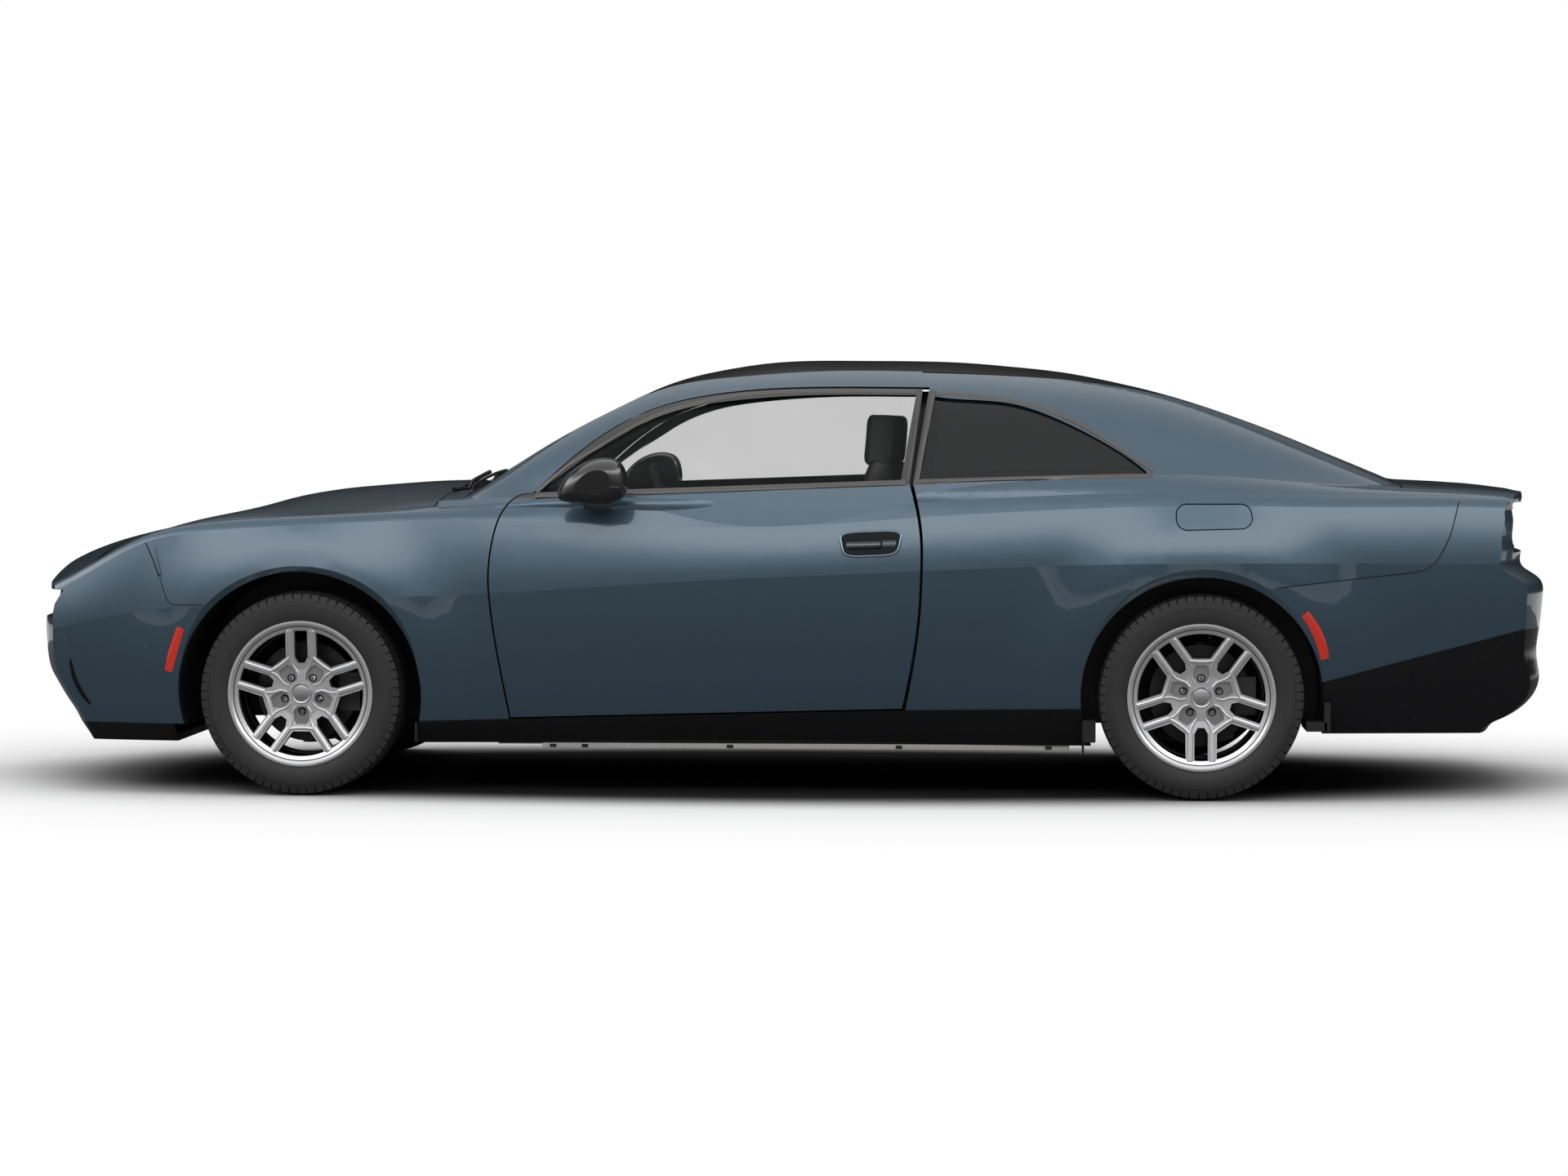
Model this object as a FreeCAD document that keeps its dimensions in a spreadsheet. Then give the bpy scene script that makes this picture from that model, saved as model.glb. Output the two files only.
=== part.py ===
import FreeCAD, Part
import math
import os
from types import SimpleNamespace

# Electric fastback coupe: steel body panels, a lift-up rear hatch, two long doors and
# four wheels, set out nose towards -X, with its left side at -Y and the floor at zero.

Vector = FreeCAD.Vector
doc = FreeCAD.newDocument("Coupe")

# Driving dimensions in millimetres, kept in the sheet
SIZES = (
    # the whole vehicle
    ("overall_length", 5248),
    ("overall_width", 2028),
    ("overall_height", 1500),
    ("front_axle", 976),
    ("wheelbase", 3074),
    ("track", 1650),
    # body skin
    ("crest_inboard", 45),
    ("crest_round", 26),
    ("sill_inboard", 58),
    ("skirt_inboard", 150),
    ("skirt_height", 150),
    ("flare_reach", 22),
    ("flare_radius", 680),
    ("nose_curl", 122),
    ("tail_curl", 105),
    ("skin", 24),
    ("door_depth", 84),
    ("quarter_depth", 60),
    ("sill_depth", 150),
    ("roof_depth", 34),
    ("pillar_depth", 52),
    ("cabin_base", 900),
    ("panel_gap", 6),
    ("aperture_inner", 420),
    ("fender_inner", 560),
    ("fender_foot", 252),
    ("hood_inboard", 58),
    ("hood_rear", 1468),
    ("hood_sweep", 40),
    ("hood_bow", 14),
    ("hood_low", 640),
    ("bridge_gap", 26),
    ("quarter_foot", 316),
    ("quarter_inner", 600),
    ("glass_inboard", 12),
    ("hatch_gap", 10),
    ("post_length", 137),
    ("post_outer", 868),
    ("post_inner", 790),
    ("post_top", 930),
    ("frame_depth", 44),
    ("lower_hinge", 430),
    ("upper_hinge", 800),
    ("hinge_start", 52),
    ("hinge_length", 46),
    ("hinge_height", 60),
    ("hood_seat_offset", 640),
    ("hood_seat_back", 110),
    ("flange_length", 46),
    ("flap_gap", 4),
    ("flap_corner", 34),
    ("flap_pocket", 50),
    ("flap_seat_start", 14),
    ("diffuser_bottom", 225),
    ("screen_foot", 1508),
    ("screen_top", 2148),
    ("roof_end", 3928),
    ("seat_gap", 0.3),
    ("cut_over", 400),
    # wheel arches
    ("arch_radius", 420),
    ("arch_lip", 30),
    ("arch_lip_depth", 34),
    ("liner", 6),
    ("front_liner_inner", 488),
    ("rear_liner_inner", 640),
    ("rear_arch_radius", 408),
    ("liner_bottom", 240),
    # front end
    ("slot_half", 850),
    ("slot_bottom", 602),
    ("wing_thickness", 34),
    ("wing_underside", 700),
    ("hood_front", 272),
    ("light_bar_setback", 34),
    ("light_bar_depth", 60),
    ("light_bar_height", 92),
    ("grille_half", 580),
    ("grille_bottom", 268),
    ("grille_top", 432),
    ("grille_bar", 10),
    ("grille_pitch", 32),
    ("grille_setback", 12),
    ("splitter_top", 244),
    ("splitter_bottom", 178),
    # rear end
    ("lamp_bottom", 838),
    ("lamp_top", 1002),
    ("lamp_half", 826),
    ("lamp_setback", 26),
    ("lamp_depth", 46),
    ("deck_half", 820),
    ("glass_end", 4730),
    # glass
    ("glass_thickness", 6),
    ("side_glass_inset", 9),
    # floor and heavy units
    ("floor_top", 312),
    ("floor_thickness", 18),
    ("rail_half", 470),
    ("battery_length", 1960),
    ("battery_half", 650),
    ("battery_bottom", 158),
    ("cargo_floor", 560),
    ("bulkhead", 1490),
    ("bulkhead_thickness", 18),
    ("heel_board", 3640),
    ("cargo_end", 5139),
    ("cargo_half", 634),
    ("beam_bottom", 300),
    ("rear_panel_bottom", 410),
    ("unit_radius", 120),
    ("unit_length", 440),
    ("cover_drop", 60),
    ("tub_half", 440),
    ("tub_front", 520),
    ("tub_rear", 1380),
    ("tub_bottom", 560),
    ("tub_wall", 10),
    ("cowl_gap", 14),
    # cabin
    ("dash_half", 776),
    ("wheel_rim_radius", 178),
    ("wheel_grip", 15),
    ("driver_offset", 400),
    ("console_half", 125),
    ("seat_half", 255),
    ("seat_riser_half", 190),
    ("bench_half", 560),
    ("rail_front", 122),
    ("rail_width", 70),
    ("rail_bottom", 372),
    ("rail_depth", 90),
    ("battery_nose", 1620),
    ("cowl_end", 1580),
    ("liner_opening", 560),
    # wheels
    ("tyre_radius", 350),
    ("tyre_width", 255),
    ("tyre_wall", 13),
    ("rim_flange", 250),
    ("bead_seat", 229),
    ("rim_width", 232),
    ("rim_well", 216),
    ("rim_wall", 7),
    ("lug_circle", 127),
    ("lug_hole", 14),
    ("lug_pocket", 26),
    ("pocket_start", 46),
    ("pocket_end", 108),
    ("pocket_depth", 12),
    ("cap_radius", 33),
    ("disc_radius", 172),
    ("disc_thickness", 28),
    # knuckles and arms
    ("kingpin_inboard", 80),
    ("post_radius", 26),
    ("ball_pin", 11),
    ("ball_height", 165),
    ("arm_thickness", 30),
    ("spindle_radius", 35),
    ("joint_radius", 46),
    ("shaft_radius", 15),
    ("disc_offset", 34),
    ("window_foot", 30),
    ("window_head", 83),
    ("window_start", 131),
    ("window_shoulder", 203),
    ("window_end", 218),
    ("slot_width", 23),
    ("slot_start", 104),
    ("slot_shoulder", 125),
    ("caliper_over", 16),
    ("caliper_half", 36),
    ("caliper_height", 130),
    ("bracket", 15),
    ("pin_length", 34),
    ("arm_spread", 120),
    ("arm_width", 34),
    ("tower_width", 50),
    ("frame_half", 90),
    ("mirror_outer", 1100),
    ("mirror_inner", 985),
    ("mirror_root", 860),
    ("mirror_foot", 90),
    ("mirror_foot_drop", 22),
)

sheet = doc.addObject("Spreadsheet::Sheet", "Sizes")
for row, (alias, value) in enumerate(SIZES, start=1):
    sheet.set("A%d" % row, alias)
    sheet.set("B%d" % row, str(value))
    sheet.setAlias("B%d" % row, alias)
doc.recompute()
s = SimpleNamespace(**{alias: float(sheet.get(alias)) for alias, value in SIZES})

length = s.overall_length
width = s.overall_width
height = s.overall_height
front_x = s.front_axle - length / 2
rear_x = front_x + s.wheelbase
wheel_y = s.track / 2


# Curves that describe the body, each a row of shares along the length
def smooth(shares, rise):
    """A natural cubic through (share of length, share of rise) rows, as a function of x."""
    xs = [row[0] * length for row in shares]
    ys = [row[1] * rise for row in shares]
    count = len(xs)
    steps = [xs[i + 1] - xs[i] for i in range(count - 1)]
    diagonal = [1.0] * count
    bend = [0.0] * count
    for i in range(1, count - 1):
        slope_change = (ys[i + 1] - ys[i]) / steps[i] - (ys[i] - ys[i - 1]) / steps[i - 1]
        carried = 0.0 if i == 1 else steps[i - 1] / diagonal[i - 1]
        diagonal[i] = 2 * (steps[i - 1] + steps[i]) - carried * steps[i - 1]
        bend[i] = 6 * slope_change - carried * bend[i - 1]
    second = [0.0] * count
    for i in range(count - 2, 0, -1):
        second[i] = (bend[i] - steps[i] * second[i + 1]) / diagonal[i]

    def value(x):
        i = 0
        while i < count - 2 and x > xs[i + 1]:
            i += 1
        step = steps[i]
        along = (x - xs[i]) / step
        back = 1 - along
        cubic = (back ** 3 - back) * second[i] + (along ** 3 - along) * second[i + 1]
        return back * ys[i] + along * ys[i + 1] + cubic * step * step / 6

    return value


def eased(shares, reach, rise):
    """A curve with no overshoot through (share of rise, share of reach) rows, as x of z."""
    zs = [row[0] * rise for row in shares]
    xs = [row[1] * reach for row in shares]
    slopes = [(xs[i + 1] - xs[i]) / (zs[i + 1] - zs[i]) for i in range(len(zs) - 1)]
    tangents = [slopes[0]]
    for before, after in zip(slopes, slopes[1:]):
        flat = before * after <= 0
        tangents.append(0.0 if flat else 2 * before * after / (before + after))
    tangents.append(slopes[-1])

    def value(z):
        i = 0
        while i < len(zs) - 2 and z > zs[i + 1]:
            i += 1
        step = zs[i + 1] - zs[i]
        along = min(max((z - zs[i]) / step, 0.0), 1.0)
        back = 1 - along
        ends = xs[i] * (1 + 2 * along) * back ** 2 + xs[i + 1] * (3 - 2 * along) * along ** 2
        return ends + step * (tangents[i] * along * back ** 2 - tangents[i + 1] * back * along ** 2)

    return value


PLAN_SHARES = ((-0.52, 0.380), (-0.467, 0.440), (-0.419, 0.466), (-0.362, 0.479), (-0.314, 0.483),
               (-0.229, 0.477), (-0.114, 0.471), (0, 0.471), (0.095, 0.475), (0.191, 0.483),
               (0.272, 0.487), (0.362, 0.480), (0.438, 0.464), (0.52, 0.432))
CREST_SHARES = ((-0.52, 0.420), (-0.454, 0.529), (-0.421, 0.590), (-0.389, 0.617), (-0.351, 0.629),
                (-0.297, 0.640), (-0.244, 0.646), (-0.184, 0.647), (-0.142, 0.643), (-0.095, 0.637),
                (-0.038, 0.633), (0.02, 0.638), (0.084, 0.654), (0.176, 0.673), (0.255, 0.682),
                (0.359, 0.680), (0.436, 0.680), (0.52, 0.673))
WAIST_SHARES = ((-0.52, 0.340), (-0.45, 0.402), (-0.300, 0.450), (-0.187, 0.465), (-0.055, 0.494),
                (0.091, 0.517), (0.181, 0.531), (0.272, 0.537), (0.52, 0.533))
SILL_SHARES = ((-0.52, 0.164), (-0.231, 0.168), (-0.177, 0.177), (-0.050, 0.189), (0.080, 0.202),
               (0.187, 0.209), (0.30, 0.235), (0.52, 0.300))
SHOULDER_SHARES = ((-0.52, 0.425), (-0.454, 0.541), (-0.389, 0.624), (-0.314, 0.646), (-0.229, 0.662),
                   (-0.191, 0.672), (-0.161, 0.682), (-0.102, 0.684), (-0.003, 0.699), (0.085, 0.714),
                   (0.155, 0.727), (0.238, 0.734), (0.30, 0.725), (0.362, 0.707), (0.438, 0.697),
                   (0.52, 0.678))
SHOULDER_HALF_SHARES = ((-0.52, 0.300), (-0.45, 0.385), (-0.389, 0.410), (-0.30, 0.420), (-0.20, 0.428),
                        (-0.16, 0.434), (0, 0.434), (0.24, 0.434), (0.36, 0.424), (0.44, 0.408),
                        (0.52, 0.370))
TOP_SHARES = ((-0.52, 0.478), (-0.490, 0.538), (-0.481, 0.553), (-0.471, 0.564), (-0.448, 0.586),
              (-0.425, 0.603), (-0.403, 0.617), (-0.380, 0.631), (-0.358, 0.657), (-0.346, 0.671),
              (-0.324, 0.686), (-0.301, 0.696), (-0.279, 0.702), (-0.256, 0.708), (-0.223, 0.712),
              (-0.191, 0.714), (0, 0.722), (0.286, 0.724), (0.401, 0.720), (0.412, 0.714),
              (0.445, 0.709), (0.475, 0.700), (0.52, 0.688))
ROOF_SHARES = ((-0.229, 0.673), (-0.212, 0.708), (-0.183, 0.763), (-0.150, 0.829), (-0.116, 0.890),
               (-0.083, 0.946), (-0.050, 0.977), (-0.016, 0.995), (0.045, 1.0), (0.083, 0.999),
               (0.116, 0.995), (0.150, 0.985), (0.183, 0.972), (0.216, 0.950), (0.248, 0.923),
               (0.298, 0.867), (0.330, 0.825), (0.363, 0.777), (0.396, 0.729), (0.419, 0.693))
RAIL_SHARES = ((-0.229, 0.640), (-0.198, 0.702), (-0.161, 0.787), (-0.108, 0.889), (-0.084, 0.926),
               (-0.034, 0.957), (0.020, 0.970), (0.101, 0.968), (0.182, 0.951), (0.249, 0.913),
               (0.321, 0.828), (0.395, 0.720), (0.419, 0.684))
RAIL_HALF_SHARES = ((-0.229, 0.392), (-0.198, 0.389), (-0.161, 0.378), (-0.108, 0.342), (-0.084, 0.318),
                    (-0.034, 0.297), (0.020, 0.291), (0.101, 0.291), (0.182, 0.296), (0.249, 0.306),
                    (0.321, 0.316), (0.395, 0.325), (0.419, 0.328))
BELT_SHARES = ((-0.229, 0.672), (-0.161, 0.683), (-0.102, 0.684), (-0.003, 0.699), (0.085, 0.714),
               (0.155, 0.727), (0.238, 0.734), (0.30, 0.725), (0.419, 0.680))
BELT_HALF_SHARES = ((-0.229, 0.434), (0.238, 0.434), (0.33, 0.424), (0.419, 0.410))
NOSE_SHARES = ((0.08, -0.462), (0.14, -0.473), (0.187, -0.481), (0.24, -0.4905), (0.29, -0.4975),
               (0.34, -0.4995), (0.39, -0.500), (0.42, -0.4985), (0.46, -0.4965), (0.50, -0.4955),
               (0.56, -0.490), (0.76, -0.486))
TAIL_SHARES = ((0.08, 0.452), (0.155, 0.465), (0.18, 0.473), (0.20, 0.485), (0.233, 0.494),
               (0.27, 0.4975), (0.33, 0.4955), (0.40, 0.498), (0.46, 0.4995), (0.482, 0.500),
               (0.498, 0.496), (0.525, 0.486), (0.56, 0.4845), (0.68, 0.4845), (0.76, 0.4845))

CROWN_SHARES = [0, 0.05, 0.27, 0.5, 0.73, 0.95, 1]
GLASSHOUSE_SHARES = [0, 0.38, 0.74, 1]
CABIN_SHARES = (-0.224, 0.416)

half_width = smooth(PLAN_SHARES, width)
crest = smooth(CREST_SHARES, height)
waist = smooth(WAIST_SHARES, height)
sill = smooth(SILL_SHARES, height)
shoulder = smooth(SHOULDER_SHARES, height)
shoulder_half = smooth(SHOULDER_HALF_SHARES, width)
top = smooth(TOP_SHARES, height)
roof = smooth(ROOF_SHARES, height)
rail = smooth(RAIL_SHARES, height)
rail_half = smooth(RAIL_HALF_SHARES, width)
belt = smooth(BELT_SHARES, height)
belt_half = smooth(BELT_HALF_SHARES, width)
nose = eased(NOSE_SHARES, length, height)
tail = eased(TAIL_SHARES, length, height)


# Shape helpers
def through(points, spacing_shares=None):
    """A curve through the points, with its knots always spaced the same way."""
    if len(points) == 2:
        return Part.makeLine(points[0], points[1])
    even = [i / (len(points) - 1) for i in range(len(points))]
    curve = Part.BSplineCurve()
    curve.interpolate(Points=points, Parameters=spacing_shares or even)
    return curve.toShape()


def rounded(start, corner, end):
    """The short curve that rounds a corner."""
    curve = Part.BezierCurve()
    curve.setPoles([start, corner, end])
    return curve.toShape()


def toward(start, end, distance):
    """The point that lies this far from start on the way to end."""
    return start + (end - start).normalize() * distance


def across(point):
    """The same point on the other side of the vehicle."""
    return Vector(point.x, -point.y, point.z)


def side_prism(runs, near, far):
    """A side-view outline, given as runs of (x, z) points, as a solid from y near to y far."""
    edges = []
    for run in runs:
        edges.append(through([Vector(x, near, z) for x, z in run]))
    return Part.Face(Part.Wire(edges)).extrude(Vector(0, far - near, 0))


def plan_prism(runs, low, high):
    """A plan outline, given as runs of (x, y) points, as a solid from z low to z high."""
    edges = []
    for run in runs:
        edges.append(through([Vector(x, y, low) for x, y in run]))
    return Part.Face(Part.Wire(edges)).extrude(Vector(0, 0, high - low))


def block(x_range, y_range, z_range):
    """A box between two corners."""
    corner = Vector(x_range[0], y_range[0], z_range[0])
    return Part.makeBox(x_range[1] - x_range[0], y_range[1] - y_range[0], z_range[1] - z_range[0], corner)


def both_sides(shape):
    """The shape with its mirror image across the centre plane."""
    return Part.makeCompound([shape, shape.mirror(Vector(0, 0, 0), Vector(0, 1, 0))])


def mirrored(shape):
    return shape.mirror(Vector(0, 0, 0), Vector(0, 1, 0))


def shares(points):
    """Side-view points from shares of the length and the height."""
    return [(x * length, z * height) for x, z in points]


def cylinder_across(x, z, radius, near, far):
    """A cylinder along Y."""
    return Part.makeCylinder(radius, far - near, Vector(x, near, z), Vector(0, 1, 0))


# The body blank: its whole outer form below the windows, cut up into panels later
def flare(x, z):
    """How far the skin swells outwards round the wheel arches."""
    swell = 0.0
    for axle in (front_x, rear_x):
        radius = math.hypot(x - axle, z - s.tyre_radius)
        rise = (s.flare_radius - radius) / (s.flare_radius - s.arch_radius)
        rise = min(max(rise, 0.0), 1.0)
        swell += s.flare_reach * rise * rise * (3 - 2 * rise)
    return swell


def body_section(x, inset):
    """The closed outline across the body at x."""
    widest = half_width(x) - inset
    crest_z = crest(x) - inset
    waist_z = waist(x)
    sill_z = sill(x)

    def skin_point(inboard, z):
        return Vector(x, inboard - widest - flare(x, z), z)

    ridge = skin_point(s.crest_inboard, crest_z)
    belt_point = Vector(x, inset - shoulder_half(x), shoulder(x) - inset)
    middle = Vector(x, 0, top(x) - inset)
    halfway = Vector(x, belt_point.y / 2, middle.z - (middle.z - belt_point.z) / 4)
    upper = []
    start = s.crest_round / (crest_z - waist_z)
    for step in range(4):
        share = start + (1 - start) * step / 3
        inboard = s.crest_inboard * max(1 - share, 0) ** 1.6
        upper.append(skin_point(inboard, crest_z + (waist_z - crest_z) * share))
    lower = []
    for step in range(6):
        share = step / 5
        inboard = s.sill_inboard * (0.35 * share + 0.65 * share ** 2)
        lower.append(skin_point(inboard, waist_z + (sill_z - waist_z) * share))
    foot = Vector(x, s.skirt_inboard - widest, s.skirt_height)
    crown_end = toward(ridge, belt_point, s.crest_round)
    left = [
        through([foot, lower[-1]]),
        through(lower[::-1]),
        through(upper[::-1]),
        rounded(upper[0], ridge, crown_end),
    ]
    crown = [crown_end, belt_point, halfway, middle]
    crown += [across(point) for point in crown[-2::-1]]
    right = [
        rounded(across(crown_end), across(ridge), across(upper[0])),
        through([across(point) for point in upper]),
        through([across(point) for point in lower]),
        through([across(lower[-1]), across(foot)]),
    ]
    return Part.Wire(left + [through(crown, CROWN_SHARES)] + right + [Part.makeLine(across(foot), foot)])


def body_form(inset):
    """The body blank between its two ends, drawn in by the inset."""
    count = 44
    stations = [(-0.52 + 1.04 * i / (count - 1)) * length for i in range(count)]
    return Part.makeLoft([body_section(x, inset) for x in stations], True, False)


def end_form(profile, curl, outward, setback):
    """A blank that carries the nose or tail face: plan curves stacked up the height."""
    count = 24
    levels = [(0.085 + 0.67 * i / (count - 1)) * height for i in range(count)]
    reach = width * 0.52
    wires = []
    for z in levels:
        face = []
        for step in range(-6, 7):
            y = outward * reach * step / 6
            curled = curl * abs(y / (width * 0.444)) ** 5
            face.append(Vector(profile(z) - outward * (curled + setback), y, z))
        near = Vector(0, face[0].y, z)
        far = Vector(0, face[-1].y, z)
        wires.append(Part.Wire([
            through(face),
            Part.makeLine(face[-1], far),
            Part.makeLine(far, near),
            Part.makeLine(near, face[0]),
        ]))
    return Part.makeLoft(wires, True, False)


def nose_form(setback):
    return end_form(nose, s.nose_curl, -1, setback)


def tail_form(setback):
    return end_form(tail, s.tail_curl, 1, setback)


# The cabin blank: windscreen, roof, rear glass and the sides above the belt
def cabin_section(x, inset):
    """The closed outline across the cabin at x."""
    belt_point = Vector(x, inset - belt_half(x), belt(x) - inset * 0.3)
    rail_point = Vector(x, inset * 0.5 - rail_half(x), rail(x) - inset * 0.9)
    span = rail_point - belt_point
    window_top = belt_point + Vector(0, span.y * 0.55, span.z * 0.78)
    window_middle = belt_point + Vector(0, span.y * 0.24, span.z * 0.40)
    base = Vector(x, belt_point.y - (belt_point.z - s.cabin_base) * 0.2, s.cabin_base)
    middle = Vector(x, 0, roof(x) - inset)
    quarter = Vector(x, rail_point.y / 2, middle.z - (middle.z - rail_point.z) / 4)
    side = [belt_point, window_middle, window_top, rail_point]
    crown = [rail_point, quarter, middle, across(quarter), across(rail_point)]
    return Part.Wire([
        Part.makeLine(base, belt_point),
        through(side, GLASSHOUSE_SHARES),
        through(crown),
        through([across(point) for point in side[::-1]], [1 - share for share in GLASSHOUSE_SHARES[::-1]]),
        Part.makeLine(across(belt_point), across(base)),
        Part.makeLine(across(base), base),
    ])


def cabin_form(inset):
    """The cabin blank from the foot of the windscreen to the end of the rear glass."""
    count = 34
    first, last = CABIN_SHARES
    stations = [(first + (last - first) * i / (count - 1)) * length for i in range(count)]
    return Part.makeLoft([cabin_section(x, inset) for x in stations], True, False)


def rail_prism(start, end, margin):
    """The plan between the two roof rails, from x start to x end."""
    count = 20
    first = CABIN_SHARES[0] * length
    last = CABIN_SHARES[1] * length
    left = []
    for i in range(count):
        x = first + (last - first) * i / (count - 1)
        left.append((x, -rail_half(x) - margin))
    right = [(x, -y) for x, y in left[::-1]]
    runs = [left, [left[-1], right[0]], right, [right[-1], left[0]]]
    whole_plan = plan_prism(runs, 0, height + s.cut_over)
    return whole_plan.common(block((start, end), (-width, width), (0, height + s.cut_over)))


def tapered_prism(runs, near, far, pivot, draft):
    """A side-view outline as a solid that narrows towards x pivot as it goes inboard."""
    wires = []
    for y, narrowing in ((near, 0), (-width / 2, 0), (far, draft)):
        edges = []
        for run in runs:
            edges.append(through([Vector(x - (x - pivot) * narrowing, y, z) for x, z in run]))
        wires.append(Part.Wire(edges))
    return Part.makeLoft(wires, True, True)


def grown(runs, margin):
    """The outline with every point moved away from its middle by the margin."""
    xs = [x for run in runs for x, z in run]
    zs = [z for run in runs for x, z in run]
    middle_x = (min(xs) + max(xs)) / 2
    middle_z = (min(zs) + max(zs)) / 2
    stretch_x = 1 + 2 * margin / (max(xs) - min(xs))
    stretch_z = 1 + 2 * margin / (max(zs) - min(zs))
    moved = []
    for run in runs:
        moved.append([(middle_x + (x - middle_x) * stretch_x, middle_z + (z - middle_z) * stretch_z)
                      for x, z in run])
    return moved


pieces = []


def add_piece(label, shape):
    """Put a finished shape into the document as a piece of its own."""
    piece = doc.addObject("Part::Feature", label)
    piece.Label = label
    piece.Shape = shape
    pieces.append(piece)
    return piece


# Blanks that several panels share
body = body_form(0)
lining = body_form(s.skin)
deep_lining = body_form(s.quarter_depth)
door_lining = body_form(s.door_depth)
front_end = body.common(nose_form(0))
front_lining = lining.common(nose_form(s.skin))
rear_end = body.common(tail_form(0))
rear_lining = lining.common(tail_form(s.skin))
cabin = cabin_form(0)
cabin_lining = cabin_form(s.pillar_depth)
outboard = -width
sky = height + s.cut_over


def arch_cutter(axle, radius, inner):
    """The left wheel opening, with the bevel of its lip."""
    skin_y = -half_width(axle) - s.flare_reach
    barrel = cylinder_across(axle, s.tyre_radius, radius, outboard, -inner)
    wide = cylinder_across(axle, s.tyre_radius, radius + s.arch_lip, outboard, skin_y)
    bevel = Part.makeCone(radius + s.arch_lip, radius, s.arch_lip_depth,
                          Vector(axle, skin_y, s.tyre_radius), Vector(0, 1, 0))
    return barrel.fuse(wide).fuse(bevel)


front_arch = arch_cutter(front_x, s.arch_radius, s.front_liner_inner)
rear_arch = arch_cutter(rear_x, s.rear_arch_radius, s.rear_liner_inner)

# Outlines in side view, as shares of the length and the height
DOOR_FRONT_SHARES = ((-0.1623, 0.691), (-0.1833, 0.641), (-0.1900, 0.533), (-0.1898, 0.460),
                     (-0.1867, 0.366), (-0.1776, 0.176))
DOOR_BOTTOM_SHARES = ((-0.1776, 0.176), (0.0808, 0.200))
DOOR_REAR_SHARES = ((0.0808, 0.200), (0.0901, 0.388), (0.0924, 0.517), (0.0918, 0.609), (0.0857, 0.715))
DOOR_POST_SHARES = ((0.0857, 0.715), (0.0953, 0.933))
DOOR_TOP_SHARES = ((0.0953, 0.933), (0.0191, 0.934), (-0.0343, 0.923), (-0.0819, 0.889),
                   (-0.1220, 0.815), (-0.1623, 0.691))
WINDOW_TOP_SHARES = ((0.0867, 0.915), (0.0229, 0.9155), (-0.0324, 0.903), (-0.0856, 0.860),
                     (-0.1380, 0.749), (-0.1591, 0.693))
WINDOW_BOTTOM_SHARES = ((-0.1591, 0.693), (0.0777, 0.722))
WINDOW_REAR_SHARES = ((0.0777, 0.722), (0.0867, 0.915))
QUARTER_TOP_SHARES = ((0.0991, 0.9115), (0.1286, 0.903), (0.1606, 0.885), (0.2029, 0.819), (0.2363, 0.741))
QUARTER_BOTTOM_SHARES = ((0.2363, 0.741), (0.2363, 0.737), (0.0896, 0.724))
QUARTER_FRONT_SHARES = ((0.0896, 0.724), (0.0991, 0.9115))
BUMPER_CUT_SHARES = ((-0.4141, 0.577), (-0.4060, 0.500), (-0.3994, 0.441), (-0.3752, 0.438))
FLAP_SHARES = ((0.2544, 0.668), (0.2560, 0.612), (0.3040, 0.616), (0.3015, 0.668))
REAR_CUT_SHARES = ((0.3169, 0.482), (0.4076, 0.519), (0.4215, 0.547), (0.4295, 0.600), (0.4360, 0.680))
VALANCE_SHARES = ((0.3498, 0.271), (0.4768, 0.388))

door_runs = [shares(DOOR_FRONT_SHARES), shares(DOOR_BOTTOM_SHARES), shares(DOOR_REAR_SHARES),
             shares(DOOR_POST_SHARES), shares(DOOR_TOP_SHARES)]
window_runs = [shares(WINDOW_TOP_SHARES), shares(WINDOW_BOTTOM_SHARES), shares(WINDOW_REAR_SHARES)]
quarter_runs = [shares(QUARTER_TOP_SHARES), shares(QUARTER_BOTTOM_SHARES[:2]),
                shares(QUARTER_BOTTOM_SHARES[1:]), shares(QUARTER_FRONT_SHARES)]
bumper_cut = shares(BUMPER_CUT_SHARES)
rear_cut = shares(REAR_CUT_SHARES)
valance = shares(VALANCE_SHARES)
nose_x = -length / 2 - s.cut_over
tail_x = length / 2 + s.cut_over
door_front = min(x for x, z in door_runs[0])
door_foot = door_runs[1][0]
door_heel = door_runs[1][1]
hood_front = -length / 2 + s.hood_front
hood_rear = -length / 2 + s.hood_rear
screen_top = -length / 2 + s.screen_top
roof_end = -length / 2 + s.roof_end
glass_end = -length / 2 + s.glass_end


def straight(points):
    """Side-view or plan points as runs of single straight lines."""
    return [[points[i], points[(i + 1) % len(points)]] for i in range(len(points))]


DOOR_DRAFT_SHARE = 0.022
aperture = side_prism(door_runs, outboard, -s.aperture_inner)
door_outline = grown(door_runs, -s.panel_gap)
door_block = tapered_prism(door_outline, outboard, -s.aperture_inner, door_front, DOOR_DRAFT_SHARE)
window_hole = side_prism(window_runs, outboard, -s.aperture_inner)
quarter_hole = side_prism(quarter_runs, outboard, -s.aperture_inner)


def hood_plan(margin, low):
    """The plan of the hood, grown by the margin, from z low upwards."""
    count = 7
    left = []
    for i in range(count):
        x = hood_front - margin + (hood_rear - s.hood_sweep - hood_front + 2 * margin) * i / (count - 1)
        left.append((x, s.crest_inboard + s.hood_inboard - half_width(x) - margin))
    right = [(x, -y) for x, y in left[::-1]]
    rear = [left[-1], (hood_rear + margin, 0), right[0]]
    front = [right[-1], (hood_front - s.hood_bow - margin, 0), left[0]]
    return plan_prism([left, rear, right, front], low, sky)


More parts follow.
